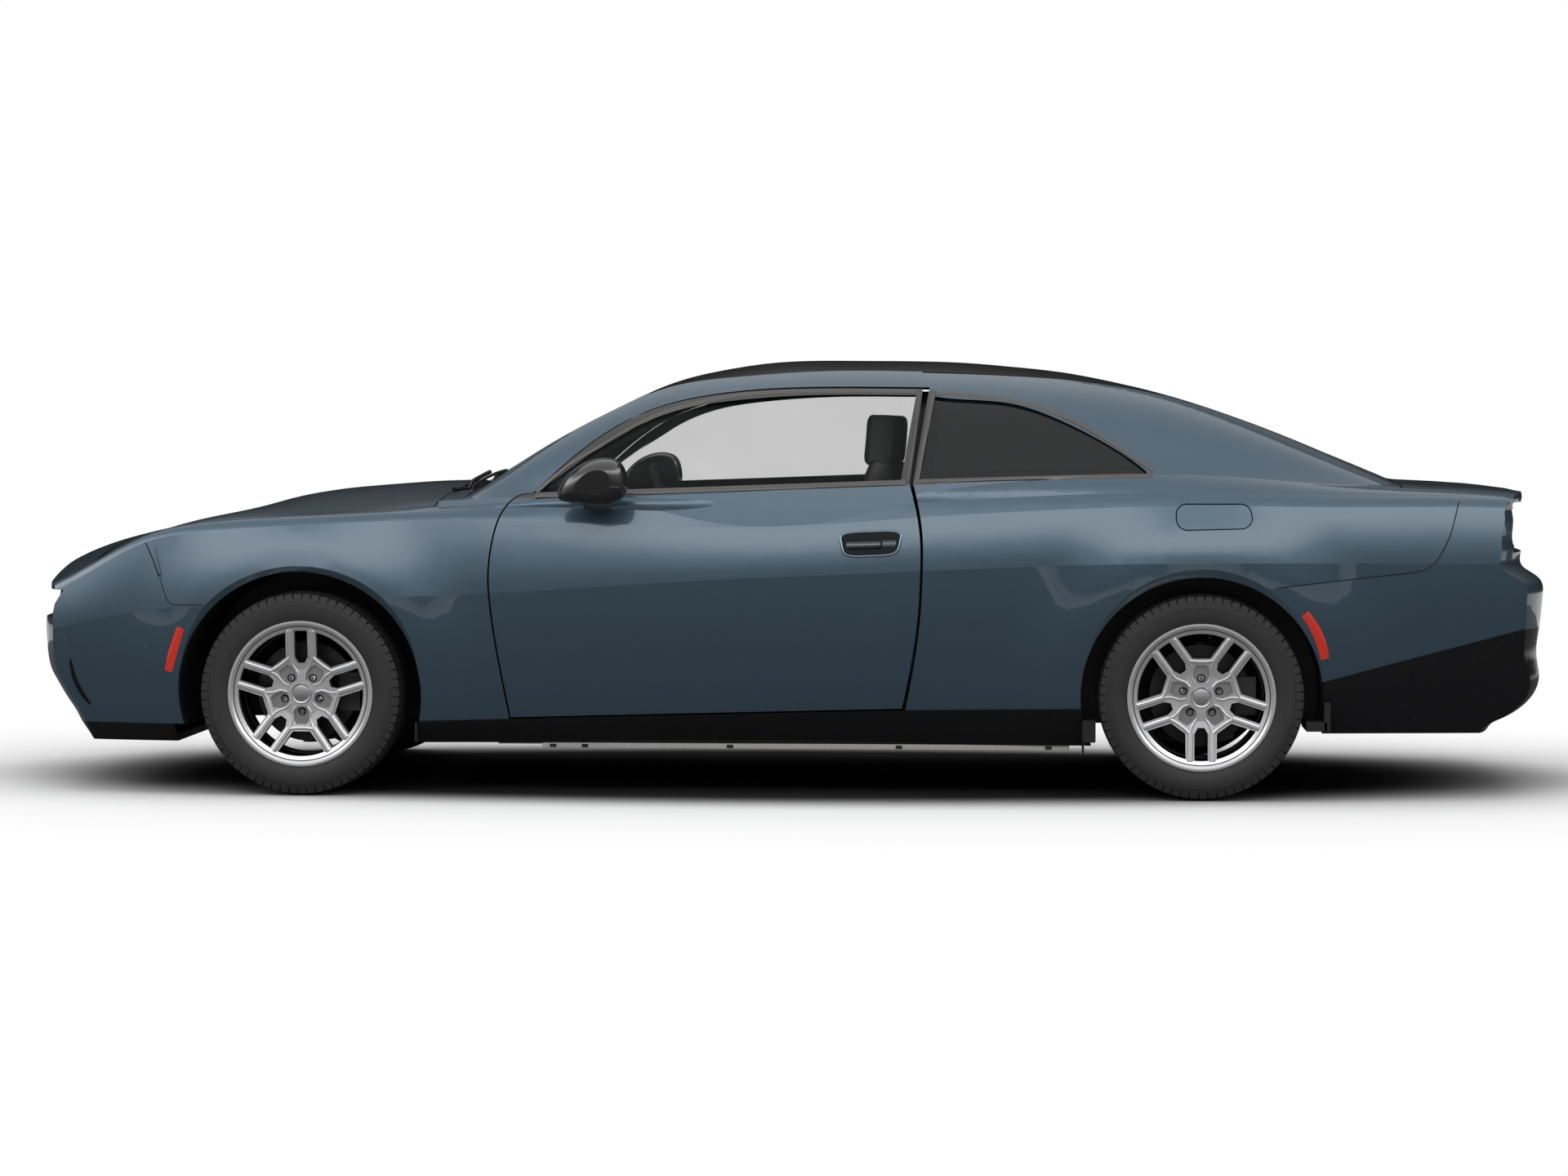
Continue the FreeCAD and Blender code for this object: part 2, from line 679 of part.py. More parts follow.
# Front panels
fender_outline = [
    shares(BUMPER_CUT_SHARES),
    [bumper_cut[-1], (front_x, s.tyre_radius)],
    [(front_x, s.tyre_radius), (front_x, s.fender_foot)],
    [(front_x, s.fender_foot), (door_foot[0], door_foot[1])],
    door_runs[0][::-1],
    [door_runs[0][0], (door_runs[0][0][0], sky)],
    [(door_runs[0][0][0], sky), (bumper_cut[0][0], sky)],
    [(bumper_cut[0][0], sky), bumper_cut[0]],
]
fender_blank = front_end.common(side_prism(fender_outline, outboard, -s.fender_inner))
fender = fender_blank.cut(front_lining).cut(hood_plan(s.panel_gap, 0)).cut(front_arch)
hood = front_end.common(hood_plan(0, s.hood_low)).cut(front_lining)
add_piece("front_fenders", both_sides(fender))
add_piece("hood", hood)

# Nose: bumper with its grille opening, the bridge over the slot, the lamp bar and the splitter
bumper_outline = [
    shares(BUMPER_CUT_SHARES),
    [bumper_cut[-1], (front_x, s.tyre_radius)],
    [(front_x, s.tyre_radius), (front_x, s.splitter_top)],
    [(front_x, s.splitter_top), (nose_x, s.splitter_top)],
    [(nose_x, s.splitter_top), (nose_x, sky)],
    [(nose_x, sky), (bumper_cut[0][0], sky)],
    [(bumper_cut[0][0], sky), bumper_cut[0]],
]
slot = block((nose_x, hood_front), (-s.slot_half, s.slot_half), (s.slot_bottom, sky))
grille_hole = block((nose_x, hood_front), (-s.grille_half, s.grille_half), (s.grille_bottom, s.grille_top))
front_arches = both_sides(front_arch)
bumper = front_end.common(side_prism(bumper_outline, outboard, width)).cut(front_lining)
bumper = bumper.cut(slot).cut(grille_hole).cut(front_arches).cut(hood_plan(s.panel_gap, s.hood_low))
add_piece("front_bumper", bumper)

bridge = block((nose_x, hood_front - s.bridge_gap), (-s.slot_half, s.slot_half), (s.wing_underside, sky))
bridge = front_end.common(bridge).cut(body_form(s.wing_thickness))
add_piece("nose_bridge", bridge)

bar_space = block((nose_x, hood_front), (-s.slot_half, s.slot_half),
                  (s.slot_bottom, s.slot_bottom + s.light_bar_height))
bar_back = nose_form(s.light_bar_setback + s.light_bar_depth)
light_bar = nose_form(s.light_bar_setback).common(bar_space).cut(bar_back)
add_piece("front_light_bar", light_bar)

grille_slice = nose_form(s.grille_setback).cut(nose_form(s.skin))
GRILLE_POSTS = 9
bars = []
bar_count = int((s.grille_top - s.grille_bottom) / s.grille_pitch)
for i in range(bar_count + 1):
    z = s.grille_bottom + (s.grille_top - s.grille_bottom - s.grille_bar) * i / bar_count
    bars.append(block((nose_x, hood_front), (-s.grille_half, s.grille_half), (z, z + s.grille_bar)))
for i in range(GRILLE_POSTS):
    y = -s.grille_half + (2 * s.grille_half - s.grille_bar) * i / (GRILLE_POSTS - 1)
    bars.append(block((nose_x, hood_front), (y, y + s.grille_bar), (s.grille_bottom, s.grille_top)))
lattice = bars[0].fuse(bars[1:])
add_piece("lower_grille", grille_slice.common(lattice))

splitter_space = block((nose_x, front_x), (-width, width), (s.splitter_bottom, s.splitter_top))
splitter = front_end.common(splitter_space).cut(front_lining.cut(
    block((nose_x, front_x), (-width, width), (s.splitter_bottom, s.splitter_bottom + s.skin))))
splitter = splitter.cut(front_arches).cut(block(
    (front_x - s.arch_radius - s.skin, front_x), (-width, width), (0, sky)))
add_piece("front_splitter", splitter)

# Sides: sills, quarters with the roof rails, and the doors
sill_outline = [
    [(front_x, s.splitter_bottom), (front_x, s.fender_foot)],
    [(front_x, s.fender_foot), door_foot],
    [door_foot, door_heel],
    [door_heel, (rear_x, s.quarter_foot)],
    [(rear_x, s.quarter_foot), (rear_x, s.splitter_bottom)],
    [(rear_x, s.splitter_bottom), (front_x, s.splitter_bottom)],
]
sill_lining = body_form(s.sill_depth)
side_sill = body.common(side_prism(sill_outline, outboard, -s.aperture_inner)).cut(sill_lining)
side_sill = side_sill.cut(front_arch).cut(rear_arch)
add_piece("sills", both_sides(side_sill))

quarter_outline = [
    [door_heel, (rear_x, s.quarter_foot)],
    [(rear_x, s.quarter_foot), (rear_x, s.tyre_radius)],
    [(rear_x, s.tyre_radius), rear_cut[0]],
    rear_cut,
    [rear_cut[-1], (rear_cut[-1][0], sky)],
    [(rear_cut[-1][0], sky), (door_runs[2][-1][0], sky)],
    [(door_runs[2][-1][0], sky), door_runs[2][-1]],
    door_runs[2][::-1],
]


def tailgate_plan(margin):
    """The plan of the rear hatch: between the rails at the glass, wider over the deck."""
    glass = rail_prism(roof_end - margin, glass_end + s.panel_gap, margin - s.glass_inboard)
    deck_reach = s.deck_half + margin
    deck = block((glass_end - margin, tail_x), (-deck_reach, deck_reach), (0, sky))
    return glass.fuse(deck)


quarter_block = side_prism(quarter_outline, outboard, -s.quarter_inner)
pillar_rear = quarter_outline[6][0][0] + s.skin
pillar_block = block((-length, pillar_rear), (outboard, 0), (s.cabin_base + s.skin, sky))
rear_whole = rear_end.fuse(cabin)
side_frame = rear_whole.common(quarter_block.fuse(pillar_block)).cut(deep_lining.fuse(cabin_lining))
side_frame = side_frame.cut(rail_prism(-length / 3, glass_end, 0)).cut(rear_arch).cut(fender_blank)
side_frame = side_frame.cut(aperture).cut(quarter_hole).cut(tailgate_plan(s.panel_gap))
flap_points = shares(FLAP_SHARES)
flap_runs = straight(flap_points)


def flap_prism(margin):
    """The round-cornered outline of the charge flap, grown by the margin, as a solid."""
    prism = side_prism(grown(flap_runs, margin), outboard, -s.quarter_inner)
    corners = [edge for edge in prism.Edges if edge.BoundBox.YLength > s.quarter_inner / 2]
    return prism.makeFillet(s.flap_corner + margin, corners)


pocket = flap_prism(s.flap_gap).cut(body_form(s.flap_pocket))
flap_front = flap_points[0][0]
flap_arm = flap_front + s.flap_seat_start
flap_seat = block((flap_arm, flap_arm + s.skin), (outboard, 0),
                  (flap_points[1][1] + s.skin, flap_points[0][1] - s.skin))
flap_seat = flap_seat.common(body_form(s.skin + s.seat_gap))
left_frame = side_frame.cut(pocket.cut(flap_seat))
add_piece("body_sides", Part.makeCompound([left_frame, mirrored(side_frame)]))
add_piece("charge_flap", body.cut(lining).common(flap_prism(0)))

whole = body.fuse(cabin)
door = whole.common(door_block).cut(door_lining.fuse(cabin_form(s.frame_depth))).cut(window_hole)
add_piece("door_left", door)
add_piece("door_right", mirrored(door))
glass_band = cabin_form(s.side_glass_inset).cut(cabin_form(s.side_glass_inset + s.glass_thickness))
door_glass = glass_band.common(window_hole)
add_piece("door_glass_left", door_glass)
add_piece("door_glass_right", mirrored(door_glass))
add_piece("quarter_glasses", both_sides(glass_band.common(quarter_hole)))

# Roof, windscreen and rear hatch
roof_panel = cabin.cut(cabin_form(s.roof_depth)).common(rail_prism(screen_top, roof_end, 0))
flange = cabin_form(s.glass_thickness + s.seat_gap).cut(cabin_form(s.roof_depth)).common(
    rail_prism(roof_end - s.skin, roof_end + s.flange_length, -s.glass_inboard))
roof_panel = roof_panel.fuse(flange)
add_piece("roof_panel", roof_panel)
glass_skin = cabin.cut(cabin_form(s.glass_thickness))
screen_foot = -length / 2 + s.screen_foot
windscreen = glass_skin.common(rail_prism(screen_foot, screen_top, 0)).cut(lining)
windscreen = windscreen.cut(both_sides(fender_blank))
add_piece("windscreen", windscreen)
rear_glass = glass_skin.common(rail_prism(roof_end + s.hatch_gap, glass_end, -s.glass_inboard)).cut(lining)
add_piece("hatch_glass", rear_glass)
hatch = rear_end.common(tailgate_plan(0)).common(block(
    (glass_end, tail_x), (-width, width), (s.lamp_top + s.panel_gap, sky))).cut(rear_lining)
add_piece("hatch_panel", hatch)

# Tail: lamp bar, bumper and diffuser
bumper_outline = [
    rear_cut,
    [rear_cut[-1], (rear_cut[-1][0], sky)],
    [(rear_cut[-1][0], sky), (tail_x, sky)],
    [(tail_x, sky), (tail_x, valance[-1][1])],
    [(tail_x, valance[-1][1]), valance[-1]],
    [valance[-1], valance[0]],
    [valance[0], (rear_x, s.tyre_radius)],
    [(rear_x, s.tyre_radius), rear_cut[0]],
]
rear_arches = both_sides(rear_arch)
lamp_hole = block((glass_end, tail_x), (-s.lamp_half, s.lamp_half), (s.lamp_bottom, sky))
rear_bumper = rear_end.common(side_prism(bumper_outline, outboard, width)).cut(rear_lining)
rear_bumper = rear_bumper.cut(lamp_hole).cut(rear_arches)
add_piece("rear_bumper", rear_bumper)
lamp_space = block((glass_end, tail_x), (-s.lamp_half, s.lamp_half), (s.lamp_bottom, s.lamp_top))
lamp = tail_form(s.lamp_setback).common(lamp_space).cut(tail_form(s.lamp_setback + s.lamp_depth))
add_piece("tail_lamp", lamp)
diffuser_outline = [
    [valance[0], valance[-1]],
    [valance[-1], (tail_x, valance[-1][1])],
    [(tail_x, valance[-1][1]), (tail_x, s.diffuser_bottom)],
    [(tail_x, s.diffuser_bottom), (valance[0][0], s.diffuser_bottom)],
    [(valance[0][0], s.diffuser_bottom), valance[0]],
]
diffuser = rear_end.common(side_prism(diffuser_outline, outboard, width)).cut(rear_lining).cut(rear_arches)
add_piece("rear_diffuser", diffuser)

# Floor, bulkhead, rails and cargo bay
bulkhead_x = -length / 2 + s.bulkhead
heel_x = -length / 2 + s.heel_board
cargo_x = -length / 2 + s.cargo_end
floor_low = s.floor_top - s.floor_thickness
mid_floor = block((bulkhead_x, heel_x), (-width, width), (floor_low, s.floor_top)).common(sill_lining)
mid_floor = mid_floor.cut(
    cylinder_across(rear_x, s.tyre_radius, s.rear_arch_radius + s.liner, -width, width))
bulkhead_rear = bulkhead_x + s.bulkhead_thickness
bulkhead = block((bulkhead_x, bulkhead_rear), (-s.post_inner, s.post_inner), (floor_low, sky))
bulkhead = bulkhead.common(deep_lining)
heel = block((heel_x - s.floor_thickness, heel_x), (-s.cargo_half, s.cargo_half), (floor_low, s.cargo_floor))
cargo = block((heel_x - s.floor_thickness, cargo_x), (-s.cargo_half, s.cargo_half),
              (s.cargo_floor - s.floor_thickness, s.cargo_floor))
rear_skin = tail_form(s.lamp_setback + s.lamp_depth)
rear_panel = rear_skin.cut(tail_form(s.lamp_setback + s.lamp_depth + s.skin)).common(
    block((glass_end, tail_x), (-s.deck_half, s.deck_half), (s.rear_panel_bottom, s.lamp_top)))
front_panel = bar_back.cut(nose_form(s.light_bar_setback + s.light_bar_depth + s.skin)).common(
    block((nose_x, hood_front), (-s.slot_half, s.slot_half),
          (s.beam_bottom, s.slot_bottom + s.light_bar_height)))
rails = []
for side in (-1, 1):
    low_y = min(side * s.rail_half, side * (s.rail_half - s.rail_width))
    rails.append(block((-length / 2 + s.rail_front, bulkhead_x), (low_y, low_y + s.rail_width),
                       (s.rail_bottom, s.rail_bottom + s.rail_depth)))
hinge_seat = body_form(s.door_depth + s.seat_gap)
post_form = body_form(s.door_depth + s.panel_gap)
posts = []
hinge_x = door_front + s.hinge_start
for side in (-1, 1):
    post_y = sorted((side * s.post_outer, side * s.post_inner))
    reach_y = sorted((side * width / 2, side * s.post_inner))
    post = block((door_front - s.post_length, door_front + s.skin), post_y, (floor_low, s.post_top))
    posts.append(post.common(post_form))
    for z in (s.lower_hinge, s.upper_hinge):
        hinge_z = (z - s.hinge_height / 2, z + s.hinge_height / 2)
        posts.append(block((door_front, hinge_x), post_y, hinge_z).common(post_form))
        posts.append(block((hinge_x, hinge_x + s.hinge_length), reach_y, hinge_z).common(hinge_seat))
floor = mid_floor.fuse([bulkhead, heel, cargo, rear_panel, front_panel] + rails + posts)
add_piece("floor_pan", floor)
battery = doc.addObject("Part::Box", "battery_pack")
battery.Label = "battery_pack"
battery.setExpression("Length", "Sizes.battery_length")
battery.setExpression("Width", "2 * Sizes.battery_half")
battery.setExpression("Height", "Sizes.floor_top - Sizes.floor_thickness - Sizes.battery_bottom")
battery.setExpression("Placement.Base.x", "Sizes.battery_nose - Sizes.overall_length / 2")
battery.setExpression("Placement.Base.y", "-Sizes.battery_half")
battery.setExpression("Placement.Base.z", "Sizes.battery_bottom")
pieces.append(battery)
units = []
for label, axle in (("front_unit", "Sizes.front_axle"), ("rear_unit", "Sizes.front_axle + Sizes.wheelbase")):
    unit = doc.addObject("Part::Cylinder", label)
    unit.Placement.Rotation = FreeCAD.Rotation(Vector(1, 0, 0), -90)
    unit.setExpression("Radius", "Sizes.unit_radius")
    unit.setExpression("Height", "Sizes.unit_length")
    unit.setExpression("Placement.Base.x", axle + " - Sizes.overall_length / 2")
    unit.setExpression("Placement.Base.y", "-Sizes.unit_length / 2")
    unit.setExpression("Placement.Base.z", "Sizes.tyre_radius")
    units.append(unit)
drive_units = doc.addObject("Part::Compound", "drive_units")
drive_units.Label = "drive_units"
drive_units.Links = units
pieces.append(drive_units)

# Front compartment under the hood, and the cowl in front of the glass
cover = body_form(s.cover_drop).cut(body_form(s.cover_drop + s.tub_wall)).common(
    hood_plan(-s.skin, s.hood_low)).common(block((-length, bulkhead_x), (-width, width), (0, sky)))
tub_outer = block((-length / 2 + s.tub_front, -length / 2 + s.tub_rear), (-s.tub_half, s.tub_half),
                  (s.tub_bottom, sky)).common(body_form(s.cover_drop))
tub_inner = block((-length / 2 + s.tub_front + s.tub_wall, -length / 2 + s.tub_rear - s.tub_wall),
                  (-s.tub_half + s.tub_wall, s.tub_half - s.tub_wall), (s.tub_bottom + s.tub_wall, sky))
hood_seats = []
for side in (-1, 1):
    y = side * s.hood_seat_offset
    hood_seats.append(block((hood_rear - s.hood_seat_back, hood_rear - s.hood_seat_back + s.hinge_length),
                            (y - s.hinge_length / 2, y + s.hinge_length / 2), (s.hood_low, sky)).common(
        body_form(s.skin + s.seat_gap)).cut(body_form(s.cover_drop + s.tub_wall)))
add_piece("front_compartment", cover.fuse(tub_outer).cut(tub_inner).fuse(hood_seats))
cowl = lining.cut(deep_lining).common(
    block((bulkhead_x - s.cut_over, screen_top), (-s.post_inner, s.post_inner), (s.hood_low, sky)))
cowl = cowl.cut(hood_plan(s.cowl_gap, s.hood_low)).cut(cabin_lining).common(
    block((-length, -length / 2 + s.cowl_end), (-width, width), (0, sky)))
add_piece("cowl", cowl)


def wheelhouse(axle, radius, inner, wall_low):
    """The liner over a left wheel, from its inner wall out to the skin."""
    ring = cylinder_across(axle, s.tyre_radius, radius + s.liner, -width, -inner).cut(
        cylinder_across(axle, s.tyre_radius, radius, -width, -inner - s.liner))
    ring = ring.common(block((-length, length), (-width, 0), (s.liner_bottom, sky)))
    half = s.arm_spread + s.arm_width
    door = block((axle - half, axle + half), (-inner - s.liner * 2, 0), (0, wall_low))
    return ring.cut(door).cut(side_sill)


front_liner = wheelhouse(front_x, s.arch_radius, s.front_liner_inner, s.liner_opening).common(front_lining)
rear_liner = wheelhouse(rear_x, s.rear_arch_radius, s.rear_liner_inner, s.liner_opening).common(rear_lining)
rear_liner = rear_liner.common(deep_lining)
liners = [front_liner, mirrored(front_liner), rear_liner, mirrored(rear_liner)]
add_piece("arch_liners", Part.makeCompound(liners))

# Cabin pieces
DASH_SHARES = ((-0.2119, 0.560), (-0.2119, 0.615), (-0.150, 0.655), (-0.118, 0.620), (-0.114, 0.545),
               (-0.142, 0.430), (-0.2119, 0.400))
dash_points = shares(DASH_SHARES)
dash_points[0] = (bulkhead_x + s.bulkhead_thickness, dash_points[0][1])
dash_points[1] = (bulkhead_x + s.bulkhead_thickness, dash_points[1][1])
dash_points[-1] = (bulkhead_x + s.bulkhead_thickness, dash_points[-1][1])
dashboard = side_prism(straight(dash_points), -s.dash_half, s.dash_half)
add_piece("dashboard", dashboard)
WHEEL_CENTRE_SHARES = (-0.078, 0.640)
WHEEL_TILT = 24
wheel_centre = Vector(WHEEL_CENTRE_SHARES[0] * length, -s.driver_offset, WHEEL_CENTRE_SHARES[1] * height)
wheel_axis = Vector(math.cos(math.radians(WHEEL_TILT)), 0, math.sin(math.radians(WHEEL_TILT)))
grip = Part.makeTorus(s.wheel_rim_radius, s.wheel_grip, wheel_centre, wheel_axis)
boss_foot = wheel_centre - wheel_axis * s.wheel_grip * 2
boss = Part.makeCylinder(s.wheel_grip * 3.4, s.wheel_grip * 3, boss_foot, wheel_axis)
column = Part.makeCylinder(s.wheel_grip * 1.6, s.wheel_rim_radius * 1.2, wheel_centre, wheel_axis * -1)
spoke = Part.makeBox(s.wheel_rim_radius * 2, s.wheel_grip * 2, s.wheel_grip)
spoke_corner = Vector(-s.wheel_rim_radius, -s.wheel_grip, -s.wheel_grip / 2)
spoke.Placement = FreeCAD.Placement(spoke_corner, FreeCAD.Rotation())
spoke = spoke.transformGeometry(FreeCAD.Placement(
    wheel_centre, FreeCAD.Rotation(Vector(0, 1, 0), Vector(0, 0, 1), wheel_axis, "XZY")).toMatrix())
steering = grip.fuse([boss, column.cut(dashboard), spoke])
add_piece("steering_wheel", steering)
CONSOLE_SHARES = ((-0.140, 0.208), (-0.140, 0.430), (-0.100, 0.440), (-0.030, 0.385), (0.072, 0.400),
                  (0.078, 0.208))
console_points = shares(CONSOLE_SHARES)
console_points[0] = (console_points[0][0], s.floor_top)
console_points[-1] = (console_points[-1][0], s.floor_top)
console = side_prism(straight(console_points), -s.console_half, s.console_half).cut(dashboard)
add_piece("centre_console", console)
CUSHION_SHARES = ((-0.082, 0.345), (-0.078, 0.372), (-0.06, 0.380), (0.012, 0.352), (0.034, 0.340),
                  (0.036, 0.262), (-0.070, 0.275))
BACK_SHARES = ((0.006, 0.330), (0.010, 0.380), (0.050, 0.720), (0.056, 0.768), (0.070, 0.768),
               (0.078, 0.740), (0.052, 0.300), (0.030, 0.262))
HEAD_SHARES = ((0.0495, 0.775), (0.053, 0.868), (0.071, 0.872), (0.0755, 0.775))
RISER_SHARES = ((-0.062, 0.208), (-0.060, 0.285), (0.030, 0.285), (0.030, 0.208))
riser_points = shares(RISER_SHARES)
riser_points[0] = (riser_points[0][0], s.floor_top)
riser_points[-1] = (riser_points[-1][0], s.floor_top)


def seat_at(y):
    """A front seat standing on its riser."""
    cushion = side_prism(straight(shares(CUSHION_SHARES)), y - s.seat_half, y + s.seat_half)
    back = side_prism(straight(shares(BACK_SHARES)), y - s.seat_half, y + s.seat_half)
    head = side_prism(straight(shares(HEAD_SHARES)), y - s.seat_half * 0.55, y + s.seat_half * 0.55)
    posts = []
    for side in (-1, 1):
        foot = Vector(shares(HEAD_SHARES)[0][0] * 0.6 + shares(HEAD_SHARES)[-1][0] * 0.4,
                      y + side * s.seat_half * 0.28, shares(BACK_SHARES)[3][1] - s.skin)
        posts.append(Part.makeCylinder(s.wheel_grip / 2, s.skin * 2.4, foot))
    riser = side_prism(straight(riser_points), y - s.seat_riser_half, y + s.seat_riser_half)
    return cushion.fuse([back, head, riser] + posts)


add_piece("front_seats", both_sides(seat_at(-s.driver_offset)))
BENCH_SHARES = ((0.108, 0.208), (0.104, 0.315), (0.112, 0.332), (0.176, 0.312), (0.2045, 0.690),
                (0.2105, 0.720), (0.222, 0.715), (0.224, 0.374), (0.1938, 0.374), (0.1938, 0.208))
bench_points = shares(BENCH_SHARES)
for i in (0, -1):
    bench_points[i] = (bench_points[i][0], s.floor_top)
for i in (-2, -1):
    bench_points[i] = (heel_x - s.floor_thickness, bench_points[i][1])
for i in (-2, -3):
    bench_points[i] = (bench_points[i][0], s.cargo_floor)
add_piece("rear_seat", side_prism(straight(bench_points), -s.bench_half, s.bench_half))


# Wheels: each is turned about Y, then its windows are cut through the face
def turned(points, side, axle):
    """A ring turned about a wheel's axis from (radius, distance outboard) points."""
    flat = [Vector(axle + radius, side * (wheel_y + out), s.tyre_radius) for radius, out in points]
    face = Part.Face(Part.makePolygon(flat + flat[:1]))
    return face.revolve(Vector(axle, 0, s.tyre_radius), Vector(0, 1, 0), 360)


half_tyre = s.tyre_width / 2
half_rim = s.rim_width / 2
TYRE_BULGE_SHARE = 0.58
shoulder_drop = s.tyre_wall * 1.1
crown_drop = s.tyre_wall * 0.3
bulge_radius = s.bead_seat + (s.tyre_radius - s.bead_seat) * TYRE_BULGE_SHARE
tyre_outline = (
    (s.bead_seat, -half_rim + s.rim_wall), (s.rim_flange, -half_rim + s.rim_wall),
    (s.rim_flange, -half_rim + s.rim_wall - s.tyre_wall * 0.3),
    (bulge_radius, -half_tyre), (s.tyre_radius - shoulder_drop, -half_tyre + s.tyre_wall),
    (s.tyre_radius - crown_drop, -half_tyre + s.tyre_wall * 2.2),
    (s.tyre_radius, -half_tyre + s.tyre_wall * 4.5),
)
tyre_inside = (
    (s.tyre_radius - s.tyre_wall, half_tyre - s.tyre_wall * 2.4),
    (bulge_radius, half_tyre - s.tyre_wall),
    (s.bead_seat, half_rim - s.rim_wall - s.tyre_wall * 1.2),
)
tyre_points = list(tyre_outline) + [(r, -y) for r, y in tyre_outline[::-1]]
tyre_points += [tyre_inside[2], tyre_inside[1], tyre_inside[0]]
tyre_points += [(r, -y) for r, y in (tyre_inside[0], tyre_inside[1], tyre_inside[2])]
rim_points = (
    (s.rim_flange, -half_rim), (s.rim_flange, -half_rim + s.rim_wall), (s.bead_seat, -half_rim + s.rim_wall),
    (s.bead_seat, -half_rim * 0.62), (s.rim_well, -half_rim * 0.42), (s.rim_well, half_rim * 0.36),
    (s.bead_seat, half_rim * 0.56), (s.bead_seat, half_rim - s.rim_wall),
    (s.rim_flange, half_rim - s.rim_wall), (s.rim_flange, half_rim),
    (s.rim_flange - s.rim_wall, half_rim), (s.rim_flange - s.rim_wall * 1.6, half_rim * 0.94),
    (s.bead_seat - s.rim_wall, half_rim * 0.80), (s.bead_seat - s.rim_wall, half_rim * 0.56),
    (s.rim_well - s.rim_wall, half_rim * 0.36), (s.rim_well - s.rim_wall, -half_rim * 0.42),
    (s.bead_seat - s.rim_wall, -half_rim * 0.62), (s.bead_seat - s.rim_wall, -half_rim),
)
hub_radius = s.lug_circle / 2 + s.lug_hole * 1.3
face_out = half_rim * 0.74
face_points = (
    (s.spindle_radius + s.seat_gap, half_rim * 0.28), (hub_radius, half_rim * 0.28),
    (s.bead_seat - s.rim_wall, half_rim * 0.56), (s.bead_seat - s.rim_wall, half_rim * 0.90),
    (hub_radius, half_rim * 0.74), (s.cap_radius, half_rim * 0.74), (s.cap_radius, half_rim * 0.80),
    (s.cap_radius * 0.2, half_rim * 0.82), (s.cap_radius * 0.2, half_rim * 0.58),
    (s.spindle_radius + s.seat_gap, half_rim * 0.58),
)
disc_inner = -s.kingpin_inboard + s.disc_offset
hat_points = (
    (s.spindle_radius + s.seat_gap, disc_inner), (s.disc_radius, disc_inner),
    (s.disc_radius, disc_inner + s.disc_thickness), (hub_radius, disc_inner + s.disc_thickness),
    (hub_radius, half_rim * 0.28), (s.spindle_radius + s.seat_gap, half_rim * 0.28),
)


def wheel_cutters(side, axle, phase):
    """Five wide windows outside the lugs, five narrow slots between them, and the lug pockets."""
    deep_y = side * wheel_y
    pocket_y = deep_y + side * (face_out - s.pocket_depth)
    bend = (s.window_shoulder + s.window_end * 3) / 4
    wide = [(-s.window_foot, s.window_start), (-s.window_head, s.window_shoulder),
            (-s.window_head / 2, bend), (0, s.window_end), (s.window_head / 2, bend),
            (s.window_head, s.window_shoulder), (s.window_foot, s.window_start)]
    narrow = [(-s.slot_width / 2, s.slot_start), (-s.slot_width, s.slot_shoulder),
              (-s.slot_width, s.window_end), (s.slot_width, s.window_end),
              (s.slot_width, s.slot_shoulder), (s.slot_width / 2, s.slot_start)]
    middle = (s.pocket_start + s.pocket_end) / 2
    pocket = [(-s.lug_pocket / 2, s.pocket_start), (-s.lug_pocket, middle - s.lug_hole),
              (-s.lug_pocket, middle + s.lug_hole), (-s.lug_pocket * 0.7, s.pocket_end),
              (s.lug_pocket * 0.7, s.pocket_end), (s.lug_pocket, middle + s.lug_hole),
              (s.lug_pocket, middle - s.lug_hole), (s.lug_pocket / 2, s.pocket_start)]
    cutters = []
    for i in range(5):
        for points, start_y, angle in ((wide, deep_y, 0), (narrow, deep_y, 36), (pocket, pocket_y, 0)):
            flat = [Vector(axle + across_x, start_y, s.tyre_radius + up) for across_x, up in points]
            shape = Part.Face(Part.makePolygon(flat + flat[:1])).extrude(Vector(0, side * s.tyre_width, 0))
            shape.rotate(Vector(axle, 0, s.tyre_radius), Vector(0, 1, 0), phase + 72 * i + angle)
            cutters.append(shape)
        hole_y = sorted((deep_y + side * half_rim / 2, deep_y + side * half_rim))
        hole = cylinder_across(axle, s.tyre_radius + s.lug_circle / 2, s.lug_hole, hole_y[0], hole_y[1])
        hole.rotate(Vector(axle, 0, s.tyre_radius), Vector(0, 1, 0), phase + 72 * i)
        cutters.append(hole)
    return cutters


for end, axle, phase in (("front", front_x, 180), ("rear", rear_x, 0)):
    for name, side in (("left", -1), ("right", 1)):
        tyre = turned(tyre_points, side, axle)
        disc = turned(hat_points, side, axle)
        rim = turned(rim_points, side, axle).fuse([turned(face_points, side, axle), disc])
        rim = rim.cut(wheel_cutters(side, axle, phase))
        add_piece("tyre_%s_%s" % (end, name), tyre)
        add_piece("rim_%s_%s" % (end, name), rim)


